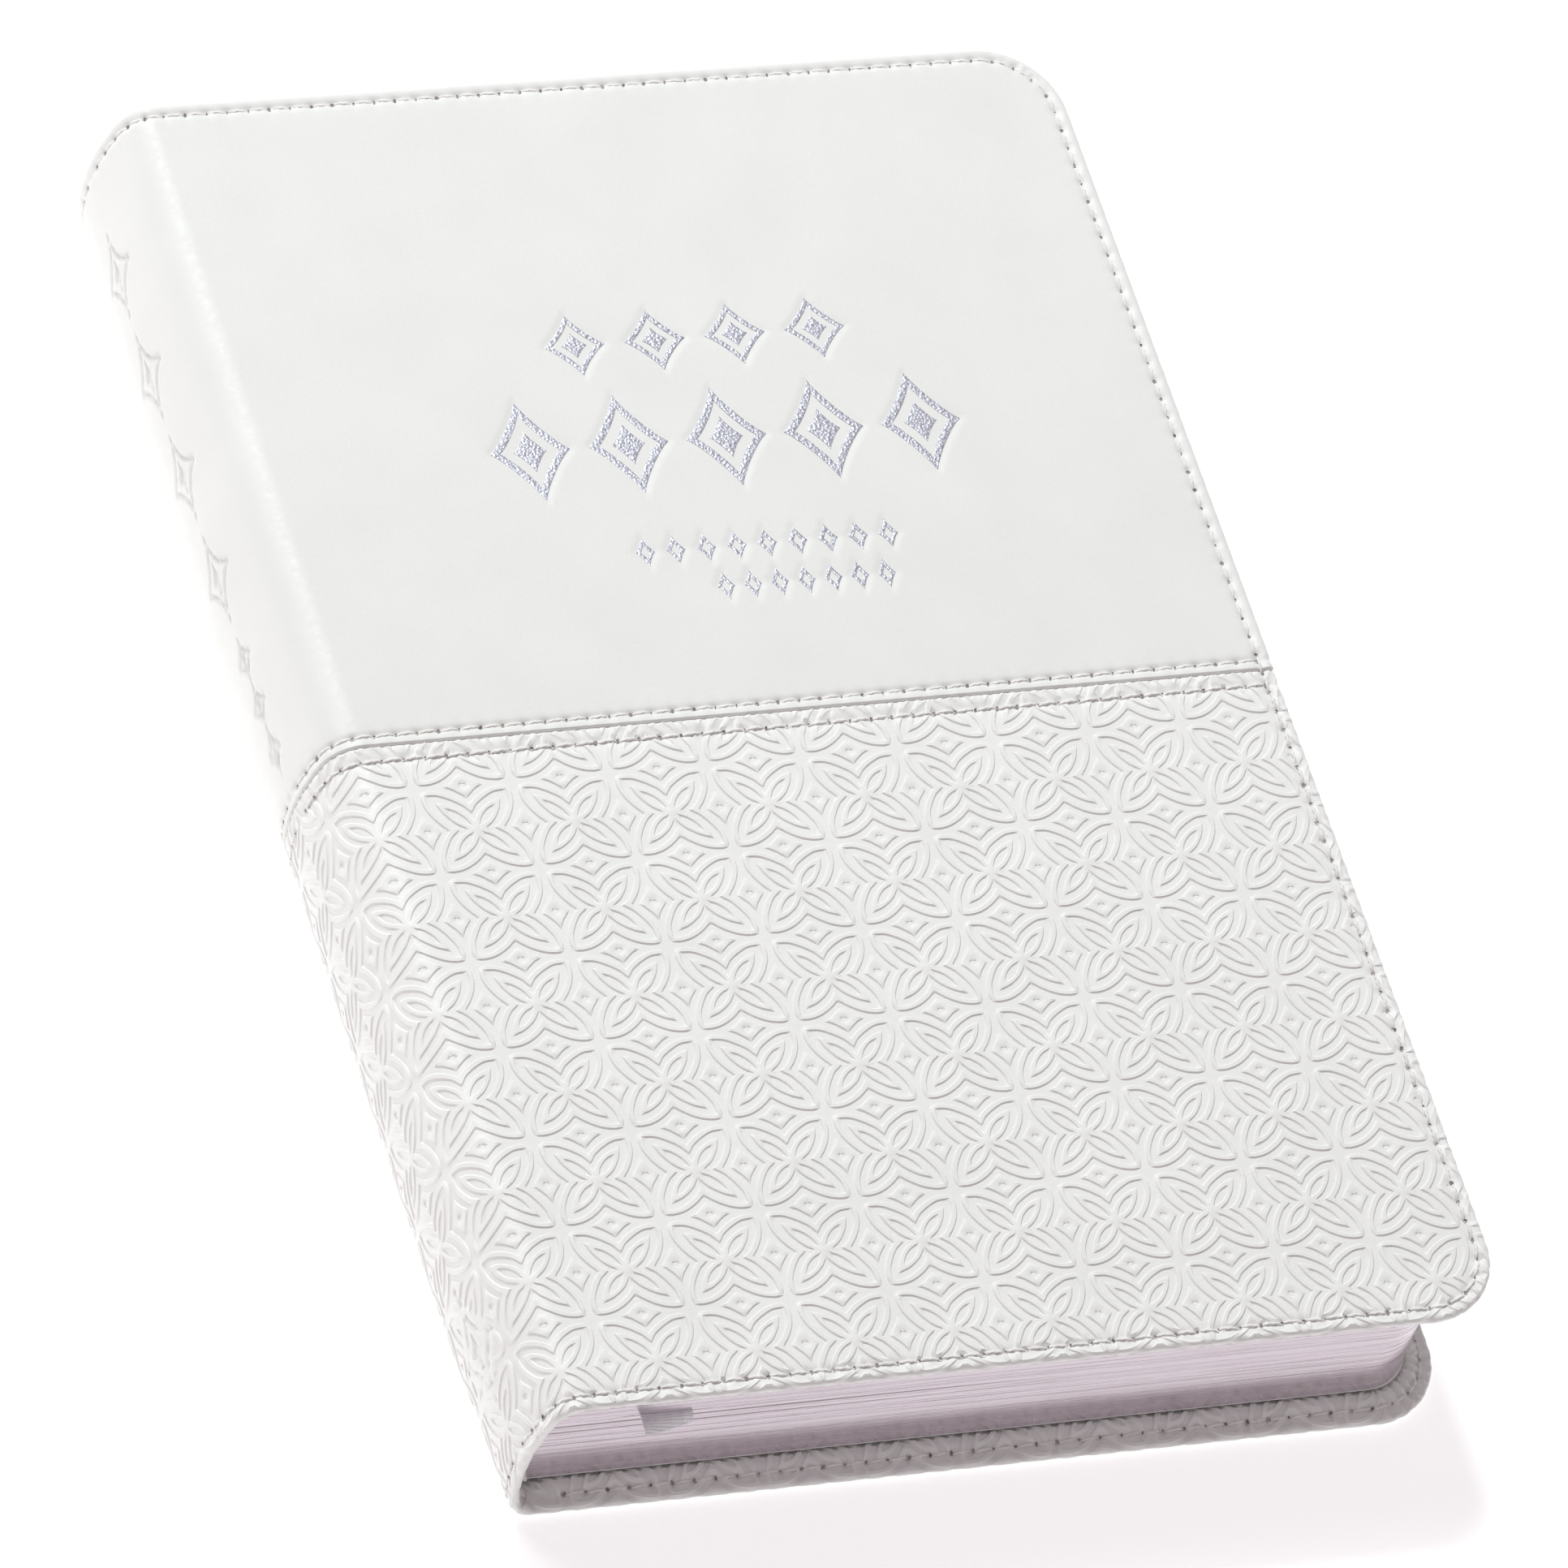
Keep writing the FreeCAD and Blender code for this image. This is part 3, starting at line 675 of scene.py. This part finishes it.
def sew(side, looks):
    edge = edge_rows(STITCH_INSET, True) + edge_rows(INNER_ROW, False)
    thread_piece(side + "_edge_thread", edge, side, looks,
                 side + "_edge_stitching", "spine_head_stitching", "spine_tail_stitching")
    for row, name in zip(SEAM_ROWS, ("upper", "lower")):
        thread_piece(side + "_seam_thread_" + name, seam_row(row), side, looks,
                     side + "_seam_stitching_" + name, "spine_seam_stitching_" + name)


# -------- pages, papers, ribbon, bands, ornament, card

def half_outline(x0, inset, radius, fine, coarse):
    """The head half of a leaf's edge, from the spine to just short of the middle of the fore-edge."""
    x1, y1 = FORE_X - inset, HALF_H - inset
    xs = spaced((x0, HINGE_X + 12, fine), (HINGE_X + 12, x1 - radius, coarse))
    turn = np.linspace(0, math.pi / 2, 13)[1:]
    ys = np.linspace(y1 - radius, coarse / 2, round((y1 - radius) / coarse))[1:]
    corner = stacked(x1 - radius + radius * np.sin(turn), y1 - radius + radius * np.cos(turn))
    return np.vstack([stacked(xs, np.full_like(xs, y1)), corner, stacked(np.full_like(ys, x1), ys)])


FACE_LOOK, EDGE_LOOK = 0, 1


def mid_share(z):
    """1 halfway up the pages and 0 at their top and underside, on a parabola."""
    return 1 - ((z - MID_Z) / (LEAF_Z1 - MID_Z)) ** 2


def pile(half, rings):
    """A closed pile of paper: half is the head half of its outline, rings are (z, inset of each point)."""
    loop = np.vstack([half, (half * [1, -1])[::-1]])
    ahead = np.roll(loop, -1, axis=0) - np.roll(loop, 1, axis=0)
    inward = stacked(ahead[:, 1], -ahead[:, 0]) / np.linalg.norm(ahead, axis=1)[:, None]
    t = (loop[:, 0] - loop[:, 0].min()) / np.ptp(loop[:, 0])
    points = []
    for z, inset in rings:
        flat = loop + inward * np.asarray(inset)[..., None]
        x = flat[:, 0] - mid_share(z) * (BLOCK_ROUND * (1 - t) + BLOCK_HOLLOW * t)
        points.append(stacked(x, flat[:, 1], np.full_like(x, z)))
    count = len(loop)
    walls = grid_faces(len(rings), count, closed=True)
    cap = end_cap(count)
    faces = np.vstack([walls, cap, cap[:, ::-1] + (len(rings) - 1) * count])
    looks = np.concatenate([np.full(len(walls), EDGE_LOOK), np.full(2 * len(cap), FACE_LOOK)])
    return np.vstack(points), faces, looks


def gathering(number, looks):
    """One gathering: bundles of thin leaves with uneven edges."""
    name = "gathering_%02d" % number
    half = half_outline(BLOCK_X0, SQUARE, PAGE_CORNER_R, 0.9, 2.0)
    count = 2 * len(half)
    z1 = LEAF_Z1 - (number - 1) * GATHERING
    edges = np.sort(rng.uniform(0.04, 0.96, BUNDLES - 1) + np.linspace(-0.03, 0.03, BUNDLES - 1))
    heights = z1 - GATHERING * (1 - np.concatenate([[0.0], edges, [1.0]]))
    rings = []
    place_on_edge = np.linspace(0, 60, count)
    fading = 1 - smoothstep(np.concatenate([half[:, 0], half[::-1, 0]]), -35, 25)
    for bundle, (low, high) in enumerate(zip(heights, heights[1:])):
        most = SET_BACK_MOST if bundle == 0 and number in SET_BACK else 0
        deep = rng.uniform(0.0, 0.022) + most * fading * rng.uniform(0.3, 1.0)
        wave = 0.014 * (1 + wander(place_on_edge * rng.uniform(0.3, 1.1), rng.uniform(0, 9)))
        inset = deep + wave + rng.uniform(0, 0.006, count)
        if bundle == 0:
            low, high = low + 0.01, max(high, low + 0.05)
        rings += [(low, inset), (high, inset)]
    points, faces, look = pile(half, rings)
    if number == RIBBON_GATHERING:
        near = (points[:, 2] > z1 - 0.02) & (np.abs(points[:, 0] - RIBBON_X) < 7) & (points[:, 1] < 0)
        points[near, 2] -= 0.3 * (1 - smoothstep(np.abs(points[near, 0] - RIBBON_X), 3.6, 7.0))
    piece = add_piece(name + "_leaves", points, faces, looks, look, sharp=35)
    if number <= TURNING:
        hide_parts(name, "front_sewn_folds")
        turns_with(piece, "front", "leaves_%d" % number)
    else:
        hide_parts(name)
        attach(piece, "block")


def endpapers(side, looks):
    """The pastedown and the flyleaf of a cover, each reaching past the joint to the back of the pages."""
    start = BLOCK_X0 - 0.4
    inner = TOP - COVER
    paste = half_outline(start, PASTE_INSET, CORNER_R - PASTE_INSET, 0.35, 4.0)
    fly = half_outline(start, SQUARE, PAGE_CORNER_R, 0.6, 3.0)
    low, high = (c.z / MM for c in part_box("front_flyleaf"))
    for name, half, z0, z1, body in (("pastedown", paste, inner, inner + 0.28, side + "_cover"),
                                     ("flyleaf", fly, low, high, "flyleaf_" + side)):
        zero = np.zeros(2 * len(half))
        points, faces, look = pile(half, [(z0, zero), (z1, zero)])
        t = (points[:, 0] - start) / (points[:, 0].max() - start)
        # These lie straight, so the rounding and hollow that pile gives are taken back
        points[:, 0] += mid_share(points[:, 2]) * (BLOCK_ROUND * (1 - t) + BLOCK_HOLLOW * t)
        points, faces = on_cover(side, points, faces)
        piece = add_piece(side + "_" + name + "_paper", points, faces, looks, look, sharp=35)
        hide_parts(side + "_" + name)
        turns_with(piece, side, body)


def ribbon(look):
    """The marker: flat between the pages, with its end hanging out at the tail."""
    z_top = LEAF_Z1 - (RIBBON_GATHERING - 1) * GATHERING - 0.02
    head = Vector((RIBBON_HEAD_X, BLOCK_HALF + 0.3, z_top))
    tail = Vector((RIBBON_X + 0.2, -BLOCK_HALF + 0.6, z_top))
    along = (tail - head).normalized()
    gripped = (tail - head).length
    hanging = np.linspace(0, RIBBON_END, 22)[1:]
    steps = np.concatenate([np.linspace(0, 1, 40) * gripped, gripped + hanging])[:, None]
    widths = np.linspace(-1, 1, 17)
    out = np.clip(steps - gripped, 0, None)
    angle = RIBBON_SLOPE * smoothstep(out, 0, RIBBON_END)
    step = np.diff(steps, axis=0, prepend=0)
    run, drop = (np.cumsum(step * share, axis=0) for share in (np.cos(angle), np.sin(angle)))
    narrow = 1 - 0.05 * smoothstep(out, 1.5, RIBBON_END)
    slant = 0.7 * widths * smoothstep(out, 0, RIBBON_END)
    frayed = 0.05 * np.sin(widths * 23) * (out >= RIBBON_END - 0.01)
    cup = 0.35 * (widths**2 - 0.4) * smoothstep(out, 0.4, RIBBON_END)
    x = head.x + along.x * run + widths * RIBBON_W / 2 * narrow
    y = head.y + along.y * run + slant + frayed
    z = head.z - drop - 0.02 * np.cos(widths * 3) + cup
    face = stacked(x, y, z)
    around = np.concatenate([face, face[:, ::-1] - [0, 0, RIBBON_T * 0.8]], axis=1)
    piece = add_piece("ribbon", around.reshape(-1, 3), bar_faces(around)[:, ::-1], look, sharp=50)
    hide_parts("ribbon_marker")
    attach(piece, "block")


def woven_band(name, side, look):
    """A band sewn round a core at the head or tail of the pages' back: thread wound closely round it."""
    around = 14
    z = np.linspace(LEAF_Z0 + 0.35, LEAF_Z1 - 0.35, BAND_TURNS * 6 + 1)
    x = BLOCK_X0 + BAND_IN - BLOCK_ROUND * mid_share(z)
    centre = stacked(x, np.full_like(z, side * (BLOCK_HALF + BAND_R)), z)
    phi = circle(around)
    along = np.linspace(0, BAND_TURNS, len(z))
    wound = np.abs(np.sin(math.pi * (along[:, None] + phi / (2 * math.pi))))
    end = np.clip(np.sin(math.pi * np.linspace(0.012, 0.988, len(z))), 0, 0.14) / 0.14
    r = BAND_R * (0.86 + 0.14 * wound) * end[:, None] ** 0.5
    points = centre[:, None] + stacked(np.cos(phi) * r, np.sin(phi) * r, 0 * r)
    piece = add_piece(name + "_woven", points.reshape(-1, 3), grid_faces(len(z), around, closed=True), look)
    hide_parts(name)
    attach(piece, "block")


FOIL_FOOT, FOIL_EDGE, FOIL_FACE = -0.30, -0.115, -0.100  # how high the foil is, from its foot to its face


def foil_ornament(look):
    """Foil pressed into the smooth leather: a hollow star and a small one in it for each mark."""
    corners = 96
    phi = circle(corners) + 1e-4
    size = star(np.cos(phi), np.sin(phi), 1, 1)
    points, faces, start = [], [], 0
    for u, v, half_u, half_v in star_marks():
        bevel = 0.10 / star_reach(half_u, half_v)
        bands = [(1.0, 0.72), (0.42, 0.0)] if half_u > 4 else [(1.0, 0.42)]
        for outer, inner in bands:
            middle = inner if inner == 0 else inner + bevel
            shares = [(outer, FOIL_FOOT), (outer - bevel, FOIL_EDGE)]
            shares += [(s, FOIL_FACE) for s in np.linspace(outer - 2 * bevel, middle + bevel, 4)]
            shares += [(middle, FOIL_EDGE), (inner, FOIL_FOOT)] if inner else [(0.001, FOIL_FACE)]
            for share, lift in shares:
                pu, pv = u + half_u * share * np.cos(phi) / size, v + half_v * share * np.sin(phi) / size
                points.append(place(pu, pv, lift))
            faces.append(grid_faces(len(shares), corners, closed=True) + start)
            start += len(shares) * corners
    piece = add_piece("front_foil_stars", np.vstack(points), np.vstack(faces), look, sharp=40)
    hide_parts("front_foil_ornament")
    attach(piece, "front_cover")


CARD_OUT, CARD_IN, CARD_END = -0.86, -1.45, 2.2  # how deep the card's two faces lie, and its gap at the ends


def stiffener(look):
    """The card inside the spine, drawn in at its ends with the leather."""
    us = spaced((U_MID, SHOULDER_X + 0.3, 0.8))
    vs = spaced((CARD_END - HALF_H, HALF_H - CARD_END, 4.0))
    v, u = np.meshgrid(vs, us, indexing="ij")
    upper = [place(u, v, lift) for lift in (CARD_OUT, CARD_IN)]
    lower = [to_back(layer) for layer in upper]
    around = np.concatenate([upper[0][:, ::-1], lower[0][:, 1:], lower[1][:, ::-1], upper[1][:, 1:]], axis=1)
    piece = add_piece("spine_card", around.reshape(-1, 3), bar_faces(around), look, sharp=40)
    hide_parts("spine_stiffener")
    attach(piece, "block")


# -------- materials

class Look:
    """A material on the Principled shader, with short ways to add noise, colour and bump to it."""

    def __init__(self, name, **sockets):
        self.material = bpy.data.materials.new(name)
        self.material.use_nodes = True
        tree = self.material.node_tree
        self.nodes, self.links = tree.nodes, tree.links
        self.shader = self.nodes["Principled BSDF"]
        for socket, value in sockets.items():
            self.shader.inputs[socket.replace("_", " ")].default_value = value
        self.place = self.nodes.new("ShaderNodeTexCoord").outputs["Object"]
        self.height = None

    def node(self, kind, **inputs):
        """A new node with each input set to a value, or linked where it is given an output."""
        made = self.nodes.new("ShaderNode" + kind)
        for name, value in inputs.items():
            socket = made.inputs[name.replace("_", " ")]
            if isinstance(value, bpy.types.NodeSocket):
                self.links.new(value, socket)
            else:
                socket.default_value = value
        return made

    def stretched(self, scale):
        """Coordinates in metres, scaled along each axis."""
        return self.node("Mapping", Scale=scale, Vector=self.place).outputs["Vector"]

    def noise(self, scale, detail=3.0, rough=0.5, where=None):
        made = self.node("TexNoise", Scale=scale, Detail=detail, Roughness=rough, Vector=where or self.place)
        return made.outputs["Fac"]

    def cells(self, scale):
        return self.node("TexVoronoi", Scale=scale, Vector=self.place).outputs["Distance"]

    def waves(self, scale, axis, distortion=0.0):
        made = self.node("TexWave", Scale=scale, Distortion=distortion, Vector=self.place)
        made.bands_direction = axis
        return made.outputs["Fac"]

    def colour(self, value, *stops):
        """Colours along value, as (position, (r, g, b)) stops."""
        ramp = self.nodes.new("ShaderNodeValToRGB")
        elements = ramp.color_ramp.elements
        while len(elements) < len(stops):
            elements.new(0.5)
        for element, (position, rgb) in zip(elements, stops):
            element.position, element.color = position, (*rgb, 1.0)
        self.links.new(value, ramp.inputs["Fac"])
        self.links.new(ramp.outputs["Color"], self.shader.inputs["Base Color"])

    def roughness(self, value, low, high):
        """Roughness from low to high where value goes from 0.3 to 0.7."""
        spread = self.node("MapRange", Value=value, From_Min=0.3, From_Max=0.7, To_Min=low, To_Max=high)
        self.links.new(spread.outputs["Result"], self.shader.inputs["Roughness"])

    def bump(self, value, depth_mm):
        """Adds relief of that depth on top of any added before."""
        below = {} if self.height is None else {"Normal": self.height}
        relief = self.node("Bump", Distance=depth_mm * MM, Strength=1.0, Height=value, **below)
        self.height = relief.outputs["Normal"]
        self.links.new(self.height, self.shader.inputs["Normal"])


def leather_look(name, white, grain):
    look = Look(name, Roughness=0.5, Specular_IOR_Level=0.42)
    shade = [c * 0.965 for c in white]
    look.colour(look.noise(70, 4), (0.3, shade), (0.7, white))
    look.roughness(look.noise(900, 3), 0.44, 0.58)
    look.bump(look.noise(2600, 4, 0.55), 0.020 * grain)
    look.bump(look.cells(1500), 0.014 * grain)
    look.bump(look.noise(260, 2), 0.022 * grain)
    return look.material


def hole_shade_look():
    # Dark brown-grey painted shade for the pits inside the needle holes
    look = Look("needle_hole_shade", Roughness=0.9, Specular_IOR_Level=0.1)
    look.colour(look.noise(420, 2), (0.35, (0.24, 0.195, 0.19)), (0.65, (0.54, 0.48, 0.47)))
    look.roughness(look.noise(900), 0.8, 1.0)
    look.bump(look.noise(4000, 3), 0.02)
    return look.material


def thread_look():
    look = Look("thread", Roughness=0.62, Sheen_Weight=0.25, Specular_IOR_Level=0.3)
    look.colour(look.noise(1600, 3), (0.3, (0.80, 0.78, 0.75)), (0.7, (0.92, 0.915, 0.90)))
    look.roughness(look.noise(3000), 0.5, 0.72)
    look.bump(look.noise(9000, 3, where=look.stretched((1, 1, 0.4))), 0.03)
    return look.material


def foil_look():
    look = Look("foil", Metallic=0.75, Roughness=0.4)
    look.colour(look.noise(2200, 4, 0.6), (0.32, (0.40, 0.40, 0.47)), (0.5, (0.53, 0.53, 0.60)),
                (0.68, (0.68, 0.68, 0.75)))
    look.roughness(look.noise(3100, 3), 0.30, 0.52)
    look.bump(look.cells(2300), 0.06)
    look.bump(look.noise(5200, 3, 0.6), 0.04)
    return look.material


def page_looks():
    """Printed pages' faces, and their silvered edges with the streaks of single leaves."""
    face = Look("page_paper", Roughness=0.8, Specular_IOR_Level=0.2)
    face.colour(face.noise(500, 5), (0.3, (0.83, 0.82, 0.79)), (0.7, (0.88, 0.87, 0.845)))
    face.roughness(face.noise(1500), 0.74, 0.88)
    face.bump(face.noise(4500, 4), 0.012)
    face.bump(face.noise(40, 2), 0.25)
    edge = Look("page_edge", Metallic=0.90, Roughness=0.2)
    streak = edge.stretched((1, 1, 150))
    edge.colour(edge.noise(45, 6, 0.6, streak), (0.30, (0.71, 0.64, 0.69)), (0.5, (0.78, 0.71, 0.765)),
                (0.7, (0.825, 0.765, 0.815)))
    edge.roughness(edge.noise(160, 5, 0.6, edge.stretched((1, 1, 60))), 0.15, 0.27)
    edge.bump(edge.noise(70, 5, 0.6, streak), 0.0035)
    edge.bump(edge.noise(1500, 4, 0.6), 0.010)
    return [face.material, edge.material]


def endpaper_looks():
    face = Look("endpaper", Roughness=0.72, Specular_IOR_Level=0.25)
    face.colour(face.noise(180, 5), (0.3, (0.84, 0.835, 0.82)), (0.7, (0.885, 0.88, 0.87)))
    face.roughness(face.noise(900), 0.66, 0.80)
    face.bump(face.noise(3800, 4), 0.015)
    edge = Look("endpaper_edge", Roughness=0.75)
    edge.colour(edge.noise(900, 4), (0.3, (0.78, 0.76, 0.78)), (0.7, (0.86, 0.85, 0.86)))
    edge.bump(edge.noise(5000, 3), 0.01)
    return [face.material, edge.material]


def ribbon_look():
    look = Look("ribbon", Roughness=0.36, Sheen_Weight=0.4, Anisotropic=0.5)
    look.colour(look.noise(700, 3), (0.3, (0.70, 0.675, 0.72)), (0.7, (0.83, 0.81, 0.85)))
    look.roughness(look.noise(1800), 0.28, 0.44)
    look.bump(look.waves(1150, "X"), 0.03)
    look.bump(look.waves(950, "Y", 0.6), 0.05)
    return look.material


def cloth_look(name, dark, light, scale):
    look = Look(name, Roughness=0.85, Sheen_Weight=0.3)
    look.colour(look.noise(600, 4), (0.3, dark), (0.7, light))
    look.roughness(look.noise(1200), 0.76, 0.92)
    look.bump(look.waves(scale, "Y"), 0.08)
    look.bump(look.waves(scale, "Z"), 0.08)
    return look.material


def card_look(name, dark, light):
    look = Look(name, Roughness=0.85)
    look.colour(look.noise(350, 6, 0.7), (0.3, dark), (0.7, light))
    look.roughness(look.noise(900), 0.78, 0.92)
    look.bump(look.noise(2200, 5, 0.6), 0.04)
    return look.material


def paint_cad(card):
    """Materials for the CAD nodes that stay: what is inside the covers and behind the pages."""
    kraft = card_look("lining_paper", (0.66, 0.62, 0.58), (0.76, 0.73, 0.69))
    gauze = cloth_look("gauze", (0.72, 0.70, 0.63), (0.84, 0.82, 0.76), 700)
    sewing = cloth_look("sewing_thread", (0.74, 0.72, 0.68), (0.86, 0.85, 0.82), 900)
    nodes = {"spine_liner": kraft, "spine_mull": gauze, "sewing_threads": sewing}
    for side in ("front_", "back_"):
        nodes[side + "board"] = nodes[side + "infill_card"] = card
    for node, look in nodes.items():
        materials = frame["nodes"][node].data.materials
        materials.clear()
        materials.append(look)


# -------- stage

def aimed(position, target, roll=0.0):
    """Placed at position with -Z at the target and the picture's right rolled by roll radians."""
    ahead = (Vector(target) - Vector(position)).normalized()
    right = ahead.cross(Vector((0, 0, 1))).normalized()
    up = right.cross(ahead)
    x = math.cos(roll) * right + math.sin(roll) * up
    y = -math.sin(roll) * right + math.cos(roll) * up
    return Matrix.Translation(position) @ Matrix((x, y, -ahead)).transposed().to_4x4()


def camera():
    """Aimed from azimuth, elevation and distance at a point of the front cover, and rolled."""
    data = bpy.data.cameras.new("camera")
    data.lens, data.sensor_width = 376.14, 36.0
    data.clip_start, data.clip_end = 0.05, 20.0
    azimuth, elevation, roll = (math.radians(a) for a in (-38.155, 50.4506, 26.1837))
    away = 2.1997
    target = Vector((-0.00657, -0.01285, TOP * MM))
    back = Vector((math.sin(azimuth) * math.cos(elevation), -math.cos(azimuth) * math.cos(elevation),
                   math.sin(elevation)))
    rig = add_object("camera", data)
    rig.matrix_world = aimed(target + back * away, target, roll)
    bpy.context.scene.camera = rig


def lamp(name, position, target, size, watts, colour=(1, 1, 1)):
    data = bpy.data.lights.new(name, "AREA")
    data.shape = "RECTANGLE"
    data.size, data.size_y = size
    data.energy, data.color = watts, colour
    add_object(name, data).matrix_world = aimed(position, target)


FLOOR_HALF, FLOOR_GLOW, SKY_GLOW = 4000, 0.53, 0.375


def stage():
    """A white floor, a key lamp from beyond the head, a soft one from the spine's side, and a pale sky."""
    corners = np.array([[-1, -1, 0], [1, -1, 0], [1, 1, 0], [-1, 1, 0]]) * FLOOR_HALF
    floor = add_piece("floor", corners, np.array([[0, 1, 2, 3]]), floor_look())
    centre = Vector((0, 0, MID_Z * MM))
    lamp("key", (-0.10, 1.15, 1.45), centre, (0.40, 0.40), 21.7, (0.915, 1.0, 0.98))
    lamp("side", (-0.75, 0.90, 1.38), centre, (0.6, 0.6), 6.6)
    world = bpy.data.worlds.new("world")
    world.use_nodes = True
    sky = world.node_tree.nodes["Background"]
    sky.inputs["Color"].default_value = (1.0, 0.895, 0.925, 1.0)
    sky.inputs["Strength"].default_value = SKY_GLOW
    bpy.context.scene.world = world
    bpy.context.scene.view_settings.view_transform = "Standard"


def floor_look():
    """White paper lit from below as well, so that it stays clean white round the book."""
    look = Look("floor", Roughness=0.9, Specular_IOR_Level=0.1, Emission_Color=(1, 1, 1, 1),
                Emission_Strength=FLOOR_GLOW)
    look.colour(look.noise(3, 2), (0.3, (0.93, 0.93, 0.93)), (0.7, (0.95, 0.95, 0.95)))
    return look.material


# -------- all of it

camera()
stage()
smooth_white = leather_look("smooth_leather", (0.835, 0.835, 0.815), 0.7)
embossed_white = leather_look("embossed_leather", (0.86, 0.855, 0.84), 1.0)
sheet_of_pattern = pattern_sheet(16, 23)
thread = [thread_look(), hole_shade_look()]
page_and_edge = page_looks()
papers = endpaper_looks()
band = cloth_look("band", (0.84, 0.83, 0.81), (0.93, 0.93, 0.92), 1100)
for cover in ("front", "back"):
    leather_smooth(cover, smooth_white)
    leather_embossed(cover, sheet_of_pattern, embossed_white)
    sew(cover, thread)
    endpapers(cover, papers)
for each in range(1, GATHERINGS + 1):
    gathering(each, page_and_edge)
ribbon(ribbon_look())
woven_band("head_band", 1, band)
woven_band("tail_band", -1, band)
foil_ornament(foil_look())
grey_card = card_look("card", (0.62, 0.60, 0.57), (0.74, 0.72, 0.69))
stiffener(grey_card)
paint_cad(grey_card)
